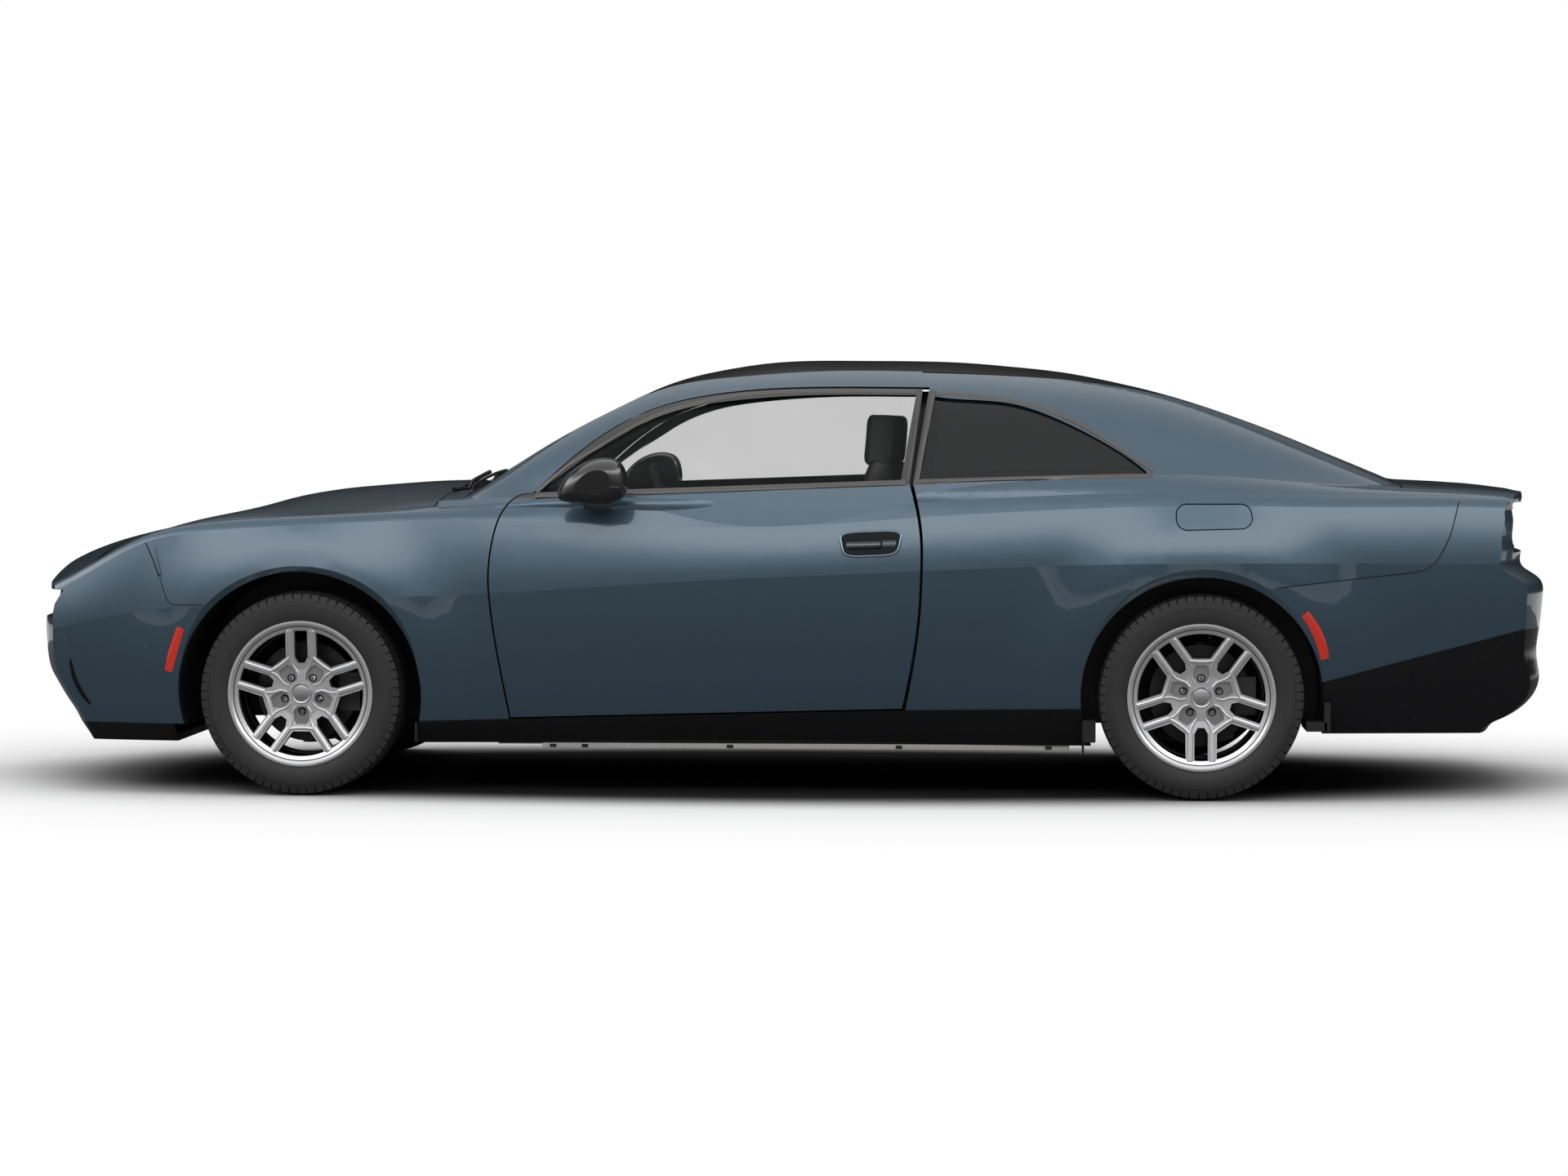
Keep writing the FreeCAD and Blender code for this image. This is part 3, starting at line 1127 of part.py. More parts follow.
# Knuckles, hub carriers, arms and subframes
def upright(axle, pins):
    """A left knuckle: post, spindle, joint ball and caliper; bored for its ball pins if steered."""
    post_y = -wheel_y + s.kingpin_inboard
    low = s.tyre_radius - s.ball_height + s.arm_thickness / 2
    high = s.tyre_radius + s.ball_height - s.arm_thickness / 2
    gap = s.seat_gap if pins else 0
    post = Part.makeCylinder(s.post_radius, high - low - 2 * gap, Vector(axle, post_y, low + gap))
    spindle = cylinder_across(axle, s.tyre_radius, s.spindle_radius, -wheel_y - half_rim * 0.56, post_y)
    ball = Part.makeSphere(s.joint_radius, Vector(axle, post_y, s.tyre_radius))
    caliper_y = post_y - s.disc_offset - s.disc_thickness / 2
    caliper = block((axle + s.disc_radius * 0.68, axle + s.disc_radius + s.caliper_over),
                    (caliper_y - s.caliper_half, caliper_y + s.caliper_half),
                    (s.tyre_radius - s.caliper_height / 2, s.tyre_radius + s.caliper_height / 2))
    caliper = caliper.cut(cylinder_across(axle, s.tyre_radius, s.disc_radius + s.panel_gap,
                                          caliper_y - s.disc_thickness / 2 - s.panel_gap,
                                          caliper_y + s.disc_thickness / 2 + s.panel_gap))
    bracket_y = caliper_y + s.caliper_half
    bracket = block((axle, axle + s.disc_radius * 0.8), (bracket_y - s.bracket, bracket_y),
                    (s.tyre_radius - s.post_radius, s.tyre_radius + s.post_radius))
    shape = post.fuse([spindle, ball, caliper, bracket])
    if pins:
        for z in (low, high - s.pin_length):
            bore = Part.makeCylinder(s.ball_pin + s.seat_gap, s.pin_length, Vector(axle, post_y, z))
            shape = shape.cut(bore)
    return shape


tower_half = s.rail_half - s.rail_width


def arms(axle, pins):
    """The left upper and lower arms, from the subframe to the upright."""
    post_y = -wheel_y + s.kingpin_inboard
    shapes = []
    for sign in (-1, 1):
        z = s.tyre_radius + sign * s.ball_height - s.arm_thickness / 2
        tip = Part.makeCylinder(s.post_radius, s.arm_thickness, Vector(axle, post_y, z))
        for spread in (-s.arm_spread, s.arm_spread):
            flat = [Vector(axle - s.arm_width / 2, post_y, z), Vector(axle + s.arm_width / 2, post_y, z),
                    Vector(axle + spread + s.arm_width / 2, -tower_half, z),
                    Vector(axle + spread - s.arm_width / 2, -tower_half, z)]
            plate = Part.Face(Part.makePolygon(flat + flat[:1]))
            shapes.append(plate.extrude(Vector(0, 0, s.arm_thickness)))
        shapes.append(tip)
        if pins:
            pin_reach = s.pin_length - s.panel_gap
            start = z + s.arm_thickness if sign < 0 else z - pin_reach
            shapes.append(Part.makeCylinder(s.ball_pin, pin_reach, Vector(axle, post_y, start)))
    return shapes


add_piece("knuckle_left", upright(front_x, True))
add_piece("knuckle_right", mirrored(upright(front_x, True)))


def subframe(axle, tower_top):
    """A cross frame with its spring towers, under the body."""
    base = block((axle - s.frame_half, axle + s.frame_half), (-tower_half, tower_half),
                 (s.tyre_radius - s.ball_height - s.arm_thickness / 2, s.tyre_radius - s.unit_radius))
    shapes = []
    joint_y = wheel_y - s.kingpin_inboard - s.joint_radius - s.seat_gap
    for side in (-1, 1):
        tower_y = sorted((side * (tower_half - s.tower_width), side * tower_half))
        shaft_y = sorted((side * s.unit_length / 2, side * joint_y))
        shapes.append(block((axle - s.arm_spread - s.arm_width, axle + s.arm_spread + s.arm_width),
                            tower_y, (s.tyre_radius - s.ball_height, tower_top)))
        shapes.append(cylinder_across(axle, s.tyre_radius, s.shaft_radius, shaft_y[0], shaft_y[1]))
    return base.fuse(shapes)


front_arms = arms(front_x, True)
front_frame = subframe(front_x, s.tub_bottom).fuse(front_arms + [mirrored(arm) for arm in front_arms])
add_piece("front_subframe", front_frame)
rear_arms = arms(rear_x, False) + [upright(rear_x, False)]
rear_frame = subframe(rear_x, s.cargo_floor - s.floor_thickness)
rear_frame = rear_frame.fuse(rear_arms + [mirrored(arm) for arm in rear_arms])
add_piece("rear_subframe", rear_frame)

# Mirrors on the doors
MIRROR_SHARES = ((-0.1425, 0.690), (-0.1385, 0.722), (-0.1280, 0.756), (-0.1140, 0.772), (-0.1020, 0.762),
                 (-0.0975, 0.722), (-0.0985, 0.690), (-0.1080, 0.668), (-0.1300, 0.670))
MIRROR_SWELL_SHARES = ((0, 0.86), (0.25, 1.0), (0.6, 0.97), (0.85, 0.80), (1, 0.52))
mirror_points = shares(MIRROR_SHARES)
mirror_x = sum(x for x, z in mirror_points) / len(mirror_points)
mirror_z = sum(z for x, z in mirror_points) / len(mirror_points)


def mirror_ring(across_share, swell):
    """The closed outline of the mirror housing at one distance from the door."""
    y = -s.mirror_inner - (s.mirror_outer - s.mirror_inner) * across_share
    points = []
    for x, z in mirror_points:
        points.append(Vector(mirror_x + (x - mirror_x) * swell, y, mirror_z + (z - mirror_z) * swell))
    ring = Part.BSplineCurve()
    ring.interpolate(Points=points, PeriodicFlag=True)
    return Part.Wire(ring.toShape())


mirror_head = Part.makeLoft([mirror_ring(*row) for row in MIRROR_SWELL_SHARES], True, False)
foot_front = mirror_x - s.mirror_foot / 2
mirror_arm = block((foot_front, foot_front + s.mirror_foot), (-s.mirror_inner - s.skin, -s.mirror_root),
                   (mirror_points[-1][1] - s.mirror_foot_drop, mirror_points[-1][1] + s.mirror_foot_drop))
mirror = mirror_head.fuse(mirror_arm.cut(body).cut(cabin))
add_piece("mirror_left", mirror)
add_piece("mirror_right", mirrored(mirror))

doc.recompute()
for item in doc.Objects:
    if "Invalid" in item.State or "Error" in item.State:
        raise RuntimeError("The document object %s failed" % item.Label)
os.makedirs("parts", exist_ok=True)
for piece in pieces:
    if piece.Shape.isNull() or not piece.Shape.isValid() or not piece.Shape.Solids:
        raise RuntimeError("The shape of %s is not valid" % piece.Label)
    piece.Shape.exportStep("parts/%s.step" % piece.Label)
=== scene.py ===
import bmesh
import bpy
import math
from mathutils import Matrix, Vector
from mathutils.bvhtree import BVHTree


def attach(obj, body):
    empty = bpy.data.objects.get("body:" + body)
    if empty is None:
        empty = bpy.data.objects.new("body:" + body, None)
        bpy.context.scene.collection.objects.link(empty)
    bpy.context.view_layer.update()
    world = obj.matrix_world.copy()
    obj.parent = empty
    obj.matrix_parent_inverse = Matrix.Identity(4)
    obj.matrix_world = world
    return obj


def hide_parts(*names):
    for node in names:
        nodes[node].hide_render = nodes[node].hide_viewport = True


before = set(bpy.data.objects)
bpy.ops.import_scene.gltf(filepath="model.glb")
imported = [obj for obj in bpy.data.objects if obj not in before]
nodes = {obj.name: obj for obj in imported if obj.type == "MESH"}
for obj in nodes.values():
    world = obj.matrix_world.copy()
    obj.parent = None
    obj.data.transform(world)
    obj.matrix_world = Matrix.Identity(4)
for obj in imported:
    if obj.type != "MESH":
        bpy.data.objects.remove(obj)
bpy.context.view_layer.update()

# Camera: stands 14 m from the car at chest height, level with the rear side window, and is turned
# a little forward, so that the middle of the left side falls in the middle of the picture.
CAMERA_PLACE = (0.842, -14.0, 1.3)
CAMERA_DIP = 2.55
CAMERA_TURN = 3.63
camera_lens = bpy.data.cameras.new("camera")
camera_lens.lens = 88.6
camera_lens.sensor_width = 36
camera_lens.clip_end = 200
camera = bpy.data.objects.new("camera", camera_lens)
camera.location = CAMERA_PLACE
camera.rotation_euler = (math.radians(90 - CAMERA_DIP), 0, math.radians(CAMERA_TURN))
bpy.context.scene.collection.objects.link(camera)
bpy.context.scene.camera = camera

# Painted steel: hood, fenders, doors, quarters and bumpers in one metallic blue-grey,
# a flake layer under clear coat. The flake is a shader group that other finishes share.
PAINT = (0.050, 0.092, 0.128, 1)
PAINT_SHADE = (0.034, 0.064, 0.092, 1)
PAINT_METALLIC = 0.6
CLEAR_COAT = 0.9
COAT_ROUGHNESS = 0.04
RELIEF_DEPTH = 0.001


def grain_group():
    """A group that puts out fine noise as a mask, for colour, gloss and relief."""
    group = bpy.data.node_groups.new("fine grain", "ShaderNodeTree")
    scale = group.interface.new_socket("Scale", in_out="INPUT", socket_type="NodeSocketFloat")
    scale.default_value = 400
    group.interface.new_socket("Mask", in_out="OUTPUT", socket_type="NodeSocketFloat")
    inside = group.nodes.new("NodeGroupInput")
    outside = group.nodes.new("NodeGroupOutput")
    place = group.nodes.new("ShaderNodeTexCoord")
    noise = group.nodes.new("ShaderNodeTexNoise")
    noise.inputs["Detail"].default_value = 3
    group.links.new(inside.outputs["Scale"], noise.inputs["Scale"])
    group.links.new(place.outputs["Object"], noise.inputs["Vector"])
    group.links.new(noise.outputs["Fac"], outside.inputs["Mask"])
    return group


fine_grain = grain_group()


def grain_mask(tree, scale):
    """The fine grain, placed in a material with its own scale."""
    grain = tree.nodes.new("ShaderNodeGroup")
    grain.node_tree = fine_grain
    grain.inputs["Scale"].default_value = scale
    return grain.outputs["Mask"]


def ramp(tree, value, to_low, to_high, from_low=0.0, from_high=1.0, smooth=False):
    """A socket's value spread over another range, evenly or with soft ends."""
    node = tree.nodes.new("ShaderNodeMapRange")
    if smooth:
        node.interpolation_type = "SMOOTHSTEP"
    limits = {"From Min": from_low, "From Max": from_high, "To Min": to_low, "To Max": to_high}
    for socket, limit in limits.items():
        node.inputs[socket].default_value = limit
    tree.links.new(value, node.inputs["Value"])
    return node.outputs["Result"]


def blend(tree, share, low, high):
    """Two colours, or sockets that carry colours, mixed by a socket's value."""
    node = tree.nodes.new("ShaderNodeMix")
    node.data_type = "RGBA"
    for socket, colour in (("A", low), ("B", high)):
        if isinstance(colour, tuple):
            node.inputs[socket].default_value = colour
        else:
            tree.links.new(colour, node.inputs[socket])
    tree.links.new(share, node.inputs["Factor"])
    return node.outputs["Result"]


def finish(name, low, high, rough, metallic=0.0, scale=400.0, bump=0.0, coat=0.0, spread=0.06, sheen=0.5):
    """A material whose colour, roughness and relief follow the fine grain."""
    material = bpy.data.materials.new(name)
    material.use_nodes = True
    tree = material.node_tree
    shader = tree.nodes["Principled BSDF"]
    shader.inputs["Metallic"].default_value = metallic
    shader.inputs["Coat Weight"].default_value = coat
    shader.inputs["Coat Roughness"].default_value = COAT_ROUGHNESS
    shader.inputs["Specular IOR Level"].default_value = sheen
    grain = grain_mask(tree, scale)
    tree.links.new(blend(tree, grain, low, high), shader.inputs["Base Color"])
    tree.links.new(ramp(tree, grain, rough - spread, rough + spread), shader.inputs["Roughness"])
    if bump:
        relief = tree.nodes.new("ShaderNodeBump")
        relief.inputs["Strength"].default_value = bump
        relief.inputs["Distance"].default_value = RELIEF_DEPTH
        tree.links.new(grain, relief.inputs["Height"])
        tree.links.new(relief.outputs["Normal"], shader.inputs["Normal"])
    return material


def dress(material, *names):
    """Give CAD nodes their finish."""
    for name in names:
        nodes[name].data.materials.clear()
        nodes[name].data.materials.append(material)


paint = finish("body paint", PAINT_SHADE, PAINT, 0.34, metallic=PAINT_METALLIC, scale=2400, coat=CLEAR_COAT)
dress(paint, "hood", "front_fenders", "front_bumper", "rear_bumper", "hatch_panel", "charge_flap",
      "nose_bridge")

# Doors and body sides: the skin is painted. The door frame above the belt and the pillar behind
# it are gloss black, and the faces that look into the cabin are dark trim.
BELT_HEIGHT = 1.0485
BELT_RISE = 0.037
PILLAR_FRONT = 0.40
PILLAR_REAR = 0.53
PILLAR_TOP = 1.388
FACING_IN = -0.25
FRAME_BLACK = (0.008, 0.008, 0.009, 1)
TRIM_BLACK = (0.020, 0.020, 0.021, 1)


def reckon(tree, operation, first, second=0.0):
    """The output of a math node that is fed by sockets or numbers."""
    node = tree.nodes.new("ShaderNodeMath")
    node.operation = operation
    for socket, item in zip(node.inputs, (first, second)):
        if isinstance(item, (int, float)):
            socket.default_value = item
        else:
            tree.links.new(item, socket)
    return node.outputs["Value"]


def axes(tree, coordinates):
    """The X, Y and Z of one of Texture Coordinate's outputs."""
    place = tree.nodes.new("ShaderNodeTexCoord")
    split = tree.nodes.new("ShaderNodeSeparateXYZ")
    tree.links.new(place.outputs[coordinates], split.inputs["Vector"])
    return [split.outputs[axis] for axis in "XYZ"]


def black_group(name, whole_length):
    """A mask for the black frame above the belt, all along or at the pillar, and for inner faces."""
    group = bpy.data.node_groups.new(name, "ShaderNodeTree")
    group.interface.new_socket("Black", in_out="OUTPUT", socket_type="NodeSocketFloat")
    group.interface.new_socket("Trim", in_out="OUTPUT", socket_type="NodeSocketFloat")
    outside = group.nodes.new("NodeGroupOutput")
    along_car, across, up = axes(group, "Object")
    belt = reckon(group, "ADD", reckon(group, "MULTIPLY", along_car, BELT_RISE), BELT_HEIGHT)
    black = reckon(group, "GREATER_THAN", up, belt)
    if not whole_length:
        for operation, value, limit in (("GREATER_THAN", along_car, PILLAR_FRONT),
                                        ("LESS_THAN", along_car, PILLAR_REAR), ("LESS_THAN", up, PILLAR_TOP)):
            black = reckon(group, "MULTIPLY", black, reckon(group, operation, value, limit))
    outward = reckon(group, "MULTIPLY", axes(group, "Normal")[1], across)
    group.links.new(black, outside.inputs["Black"])
    group.links.new(reckon(group, "LESS_THAN", outward, FACING_IN), outside.inputs["Trim"])
    return group


def side_finish(name, whole_length):
    """Body paint with black above the belt and dark trim on the inner faces."""
    material = paint.copy()
    material.name = name
    tree = material.node_tree
    shader = tree.nodes["Principled BSDF"]
    base = shader.inputs["Base Color"]
    mask = tree.nodes.new("ShaderNodeGroup")
    mask.node_tree = black_group(name, whole_length)
    for socket, colour in (("Black", FRAME_BLACK), ("Trim", TRIM_BLACK)):
        tree.links.new(blend(tree, mask.outputs[socket], base.links[0].from_socket, colour), base)
    plain = reckon(tree, "MAXIMUM", mask.outputs["Black"], mask.outputs["Trim"])
    tree.links.new(ramp(tree, plain, PAINT_METALLIC, 0.0), shader.inputs["Metallic"])
    return material


dress(side_finish("door paint", True), "door_left", "door_right")
dress(side_finish("side paint", False), "body_sides")

# Window mouldings: satin bronze-grey strips along the belt and round the side windows, clipped
# to the skin. Each is a grid laid along a path by casting lines onto the CAD surface below it.
SIDES = {"left": -1, "right": 1}
moulding = finish("window moulding", (0.085, 0.081, 0.078, 1), (0.13, 0.125, 0.12, 1), 0.30, metallic=0.75,
                  scale=700, bump=0.04)
surfaces = {}
BESIDE_CAR = 3
BEYOND_ENDS = 4


def meets(carrier, start, heading):
    """Where a line meets a CAD node's surface; None where it misses."""
    if carrier not in surfaces:
        surfaces[carrier] = BVHTree.FromObject(nodes[carrier], bpy.context.evaluated_depsgraph_get())
    return surfaces[carrier].ray_cast(Vector(start), Vector(heading))[0]


def looking(view):
    """How a flat drawing's (a, b) becomes a line cast at the car, seen from one side."""
    side = -1 if view in ("left", "front", "under") else 1
    if view in ("left", "right"):
        return (lambda a, b: (a, side * BESIDE_CAR, b)), Vector((0, -side, 0))
    if view in ("front", "rear"):
        return (lambda a, b: (side * BEYOND_ENDS, a, b)), Vector((-side, 0, 0))
    return (lambda a, b: (a, b, side * BESIDE_CAR)), Vector((0, 0, -side))


def laid(carrier, view, a, b, last):
    """The place on a CAD surface under (a, b), or the last one met, moved level with it."""
    start, heading = looking(view)
    place = meets(carrier, start(a, b), heading)
    if place:
        return place
    beside = Vector(start(a, b))
    for i in range(3):
        if heading[i]:
            beside[i] = last[i]
    return beside


def along(points, share):
    """The point at a share of the way along a smooth path through flat points."""
    place = share * (len(points) - 1)
    i = min(int(place), len(points) - 2)
    step = place - i
    before = Vector(points[max(i - 1, 0)])
    start = Vector(points[i])
    end = Vector(points[i + 1])
    after = Vector(points[min(i + 2, len(points) - 1)])
    bend = 2 * before - 5 * start + 4 * end - after + (3 * start - before - 3 * end + after) * step
    return start + 0.5 * step * (end - before + bend * step)


def square_to(points, share, step):
    """The direction square to a smooth path, at a share of the way along it."""
    ahead = along(points, min(share + step, 1)) - along(points, max(share - step, 0))
    ahead.normalize()
    return Vector((-ahead.y, ahead.x))


def new_piece(name, shape, material, body, crease=35):
    """Turn a bmesh into an object that rides on a body."""
    bmesh.ops.recalc_face_normals(shape, faces=shape.faces)
    mesh = bpy.data.meshes.new(name)
    shape.to_mesh(mesh)
    shape.free()
    mesh.materials.append(material)
    mesh.polygons.foreach_set("use_smooth", [True] * len(mesh.polygons))
    mesh.set_sharp_from_angle(angle=math.radians(crease))
    piece = bpy.data.objects.new(name, mesh)
    bpy.context.scene.collection.objects.link(piece)
    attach(piece, body)
    return piece


STRIP_COLUMNS = 6
CROWN_DROP = 0.7


def lay(shape, path, half, carrier, view, lift=0.004, steps=40, ends=1.0, sink=0.003):
    """Add a crowned strip to a bmesh, laid on a CAD surface along a flat path."""
    verts = bmesh.ops.create_grid(shape, x_segments=steps, y_segments=STRIP_COLUMNS, size=1)["verts"]
    kept = set(verts)
    faces = [face for face in shape.faces if set(face.verts) <= kept]
    heading = looking(view)[1]
    last = laid(carrier, view, *along(path, 0.5), Vector())
    for vert in sorted(verts, key=lambda v: (v.co.x, v.co.y)):
        share = vert.co.x / 2 + 0.5
        swell = ends + (1 - ends) * math.sin(math.pi * share) ** 0.5
        spot = along(path, share) + square_to(path, share, 0.01) * half * swell * vert.co.y
        last = laid(carrier, view, spot.x, spot.y, last)
        vert.co = last - heading * lift * (1 - CROWN_DROP * vert.co.y ** 4)
    for item in bmesh.ops.extrude_face_region(shape, geom=faces)["geom"]:
        if isinstance(item, bmesh.types.BMVert):
            item.co += heading * (lift + sink)


def ribbon(name, path, half, carrier, view, material, body, **shaping):
    """One laid strip as a piece of its own."""
    shape = bmesh.new()
    lay(shape, path, half, carrier, view, **shaping)
    new_piece(name, shape, material, body)


DOOR_BELT = [(-0.842, 1.0285), (-0.4, 1.0445), (0.0, 1.0592), (0.425, 1.0748)]
DOOR_TOP = [(-0.838, 1.041), (-0.735, 1.130), (-0.60, 1.212), (-0.455, 1.296), (-0.30, 1.345),
            (-0.13, 1.3745), (0.10, 1.3865), (0.455, 1.386)]
DOOR_BACK = [(0.430, 1.078), (0.4485, 1.200), (0.4605, 1.320), (0.4645, 1.372)]
QUARTER_TOP = [(0.523, 1.379), (0.675, 1.368), (0.845, 1.340), (0.965, 1.296), (1.075, 1.238), (1.262, 1.116)]
QUARTER_BASE = [(0.452, 1.078), (0.75, 1.087), (1.05, 1.095), (1.262, 1.099)]
QUARTER_FRONT = [(0.463, 1.083), (0.489, 1.225), (0.5125, 1.374)]
for side in SIDES:
    door = "door_" + side
    on_door = {"carrier": door, "view": side, "material": moulding, "body": door}
    on_body = {"carrier": "body_sides", "view": side, "material": moulding, "body": "root"}
    ribbon("belt_strip_" + side, DOOR_BELT, 0.0095, **on_door)
    ribbon("window_strip_" + side, DOOR_TOP, 0.0065, lift=0.003, steps=70, **on_door)
    ribbon("door_edge_strip_" + side, DOOR_BACK, 0.003, lift=0.003, steps=20, **on_door)
    ribbon("quarter_strip_" + side, QUARTER_TOP, 0.006, lift=0.003, steps=60, **on_body)
    ribbon("quarter_base_strip_" + side, QUARTER_BASE, 0.007, lift=0.003, **on_body)
    ribbon("pillar_trim_" + side, QUARTER_FRONT, 0.006, lift=0.002, steps=20, **on_body)

# Gloss black: the roof panel and the mirror housings are painted in one deep black under a clear
# coat, with hardly any grain. The pull bars of the door handles share it.
gloss_black = finish("gloss black", (0.004, 0.004, 0.005, 1), (0.009, 0.009, 0.010, 1), 0.10, scale=60,
                     coat=1.0, spread=0.03)
dress(gloss_black, "roof_panel", "mirror_left", "mirror_right")

# Door handles: a rim in lighter paint, which is a painted highlight, round a near-black bowl, which
# is painted shade in the pocket, with a black pull bar across it and a lighter end piece. The bowl
# and the bar are laid on the door skin.
HANDLE_MIDDLE = (0.308, 0.8675)
HANDLE_HALF = (0.108, 0.041)
HANDLE_SLANT = 0.42
HANDLE_TILT = 0.004
HANDLE_ROUNDING = (0.42, 0.5)
HANDLE_POINTS = 72
HANDLE_BAR = [(0.226, 0.8625), (0.29, 0.864), (0.342, 0.866)]
HANDLE_END = [(0.348, 0.867), (0.372, 0.868), (0.394, 0.869)]
# Painted highlight: body paint made lighter, for the handle rims and the sensor rings.
highlight_paint = finish("painted highlight paint", (0.10, 0.17, 0.22, 1), (0.13, 0.21, 0.27, 1), 0.16, metallic=0.8,
                      scale=900, coat=0.8)
# Near black: painted shade in the handle pockets, and the dark seams, air slits and nut seats.
joint_black_and_pocket_shade = finish("joint black and pocket shade", (0.003, 0.004, 0.005, 1), (0.006, 0.007, 0.009, 1), 0.4, scale=500,
                    sheen=0.12)
bar_grey = finish("bar grey", (0.05, 0.065, 0.08, 1), (0.08, 0.10, 0.12, 1), 0.25, metallic=0.5, scale=500)


def squared_off(value, power):
    """A sine or cosine pushed towards its ends, which makes a circle a rounded box."""
    return abs(value) ** power * math.copysign(1, value)


def handle_edge(angle, swell):
    """A point on the rounded, slanted outline of the handle."""
    across = squared_off(math.cos(angle), HANDLE_ROUNDING[0])
    up = squared_off(math.sin(angle), HANDLE_ROUNDING[1])
    shear = (1 - up) / 2 * HANDLE_SLANT * HANDLE_HALF[1] * (-across)
    a = HANDLE_MIDDLE[0] + (across * HANDLE_HALF[0] + shear) * swell
    return a, HANDLE_MIDDLE[1] + up * HANDLE_HALF[1] * swell + across * HANDLE_TILT


def tube(name, points, radius, material, body, closed=False):
    """A round bead or rod through points, as a curve."""
    curve = bpy.data.curves.new(name, "CURVE")
    curve.dimensions = "3D"
    curve.bevel_depth = radius
    curve.bevel_resolution = 3
    curve.use_fill_caps = True
    line = curve.splines.new("POLY")
    line.points.add(len(points) - 1)
    for knot, place in zip(line.points, points):
        knot.co = (*place, 1)
    line.use_cyclic_u = closed
    line.use_smooth = True
    curve.materials.append(material)
    piece = bpy.data.objects.new(name, curve)
    bpy.context.scene.collection.objects.link(piece)
    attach(piece, body)


PATCH_SEGMENTS = 64
PATCH_RINGS = 4


def patch(name, outline, carrier, view, material, body, lift=0.001, crown=0.0):
    """A thin disc of rings laid on a CAD surface, with its edge on outline(angle, swell)."""
    shape = bmesh.new()
    bmesh.ops.create_circle(shape, cap_ends=True, radius=1, segments=PATCH_SEGMENTS)
    for ring in range(PATCH_RINGS - 1):
        middle = [face for face in shape.faces if len(face.verts) == PATCH_SEGMENTS]
        bmesh.ops.inset_region(shape, faces=middle, thickness=1 / PATCH_RINGS, use_even_offset=False)
    last = Vector((0, 0, 0))
    for vert in shape.verts:
        swell = min(round(vert.co.length * PATCH_RINGS) / PATCH_RINGS, 1)
        last = laid(carrier, view, *outline(math.atan2(vert.co.y, vert.co.x), swell), last)
        vert.co = last - looking(view)[1] * (lift + crown * (1 - swell ** 2))
    new_piece(name, shape, material, body)


for side in SIDES:
    door = "door_" + side
    edge = [laid(door, side, *handle_edge(math.tau * i / HANDLE_POINTS, 1), Vector())
            for i in range(HANDLE_POINTS)]
    # The rim's lighter paint is a painted highlight.
    tube("handle_rim_" + side, edge, 0.0045, highlight_paint, door, closed=True)
    # The near-black bowl is painted shade in the handle pocket.
    patch("handle_bowl_" + side, handle_edge, door, side, joint_black_and_pocket_shade, door, lift=0.0012)
    ribbon("handle_bar_" + side, HANDLE_BAR, 0.013, door, side, gloss_black, door, lift=0.010, steps=24)
    ribbon("handle_end_" + side, HANDLE_END, 0.011, door, side, bar_grey, door, lift=0.007, steps=16)

# Black trim: sills, splitter and diffuser are satin mouldings; the grille, the wheel liners, the
# cowl under the wipers and the front compartment are grained plastic, clipped or screwed on.
moulded = finish("moulded black", (0.008, 0.008, 0.009, 1), (0.017, 0.017, 0.018, 1), 0.42, scale=900,
                 bump=0.25, sheen=0.35)
satin_black = finish("satin black", (0.004, 0.004, 0.005, 1), (0.009, 0.009, 0.010, 1), 0.20, scale=300,
                     bump=0.06, sheen=0.25)
dress(satin_black, "sills", "front_splitter", "rear_diffuser")
dress(moulded, "lower_grille", "arch_liners", "cowl", "front_compartment")

# Nose and tail details: side markers in the bumpers, parking sensors, the air slit beside the
# nose and the dark seams where bumpers meet the steel, all laid on the painted skin.
marker_red = finish("marker lens", (0.42, 0.012, 0.006, 1), (0.55, 0.030, 0.012, 1), 0.16, scale=260,
                    coat=1.0, spread=0.03)
FRONT_SEAM = [(-2.176, 0.868), (-2.150, 0.806), (-2.131, 0.750), (-2.113, 0.700), (-2.094, 0.664),
              (-2.060, 0.655), (-1.975, 0.656)]
REAR_SEAM = [(1.672, 0.724), (1.90, 0.750), (2.135, 0.777), (2.185, 0.795), (2.213, 0.822), (2.254, 0.900),
             (2.286, 1.012)]
FRONT_MARKER = [(-2.101, 0.426), (-2.079, 0.502), (-2.052, 0.577)]
REAR_MARKER = [(1.768, 0.638), (1.803, 0.585), (1.826, 0.530), (1.837, 0.484)]
AIR_SLIT = [(-2.462, 0.462), (-2.449, 0.398), (-2.424, 0.345), (-2.394, 0.305)]
SENSORS = (("front_bumper", -2.172, 0.510), ("front_bumper", -2.470, 0.534), ("rear_bumper", 2.244, 0.622))
SENSOR_RADIUS = 0.0105
SENSOR_EYE_RADIUS = 0.0075


def disc_edge(middle, radius):
    """The outline of a small disc, for a patch."""
    return lambda angle, swell: (middle[0] + math.cos(angle) * radius * swell,
                                 middle[1] + math.sin(angle) * radius * swell)


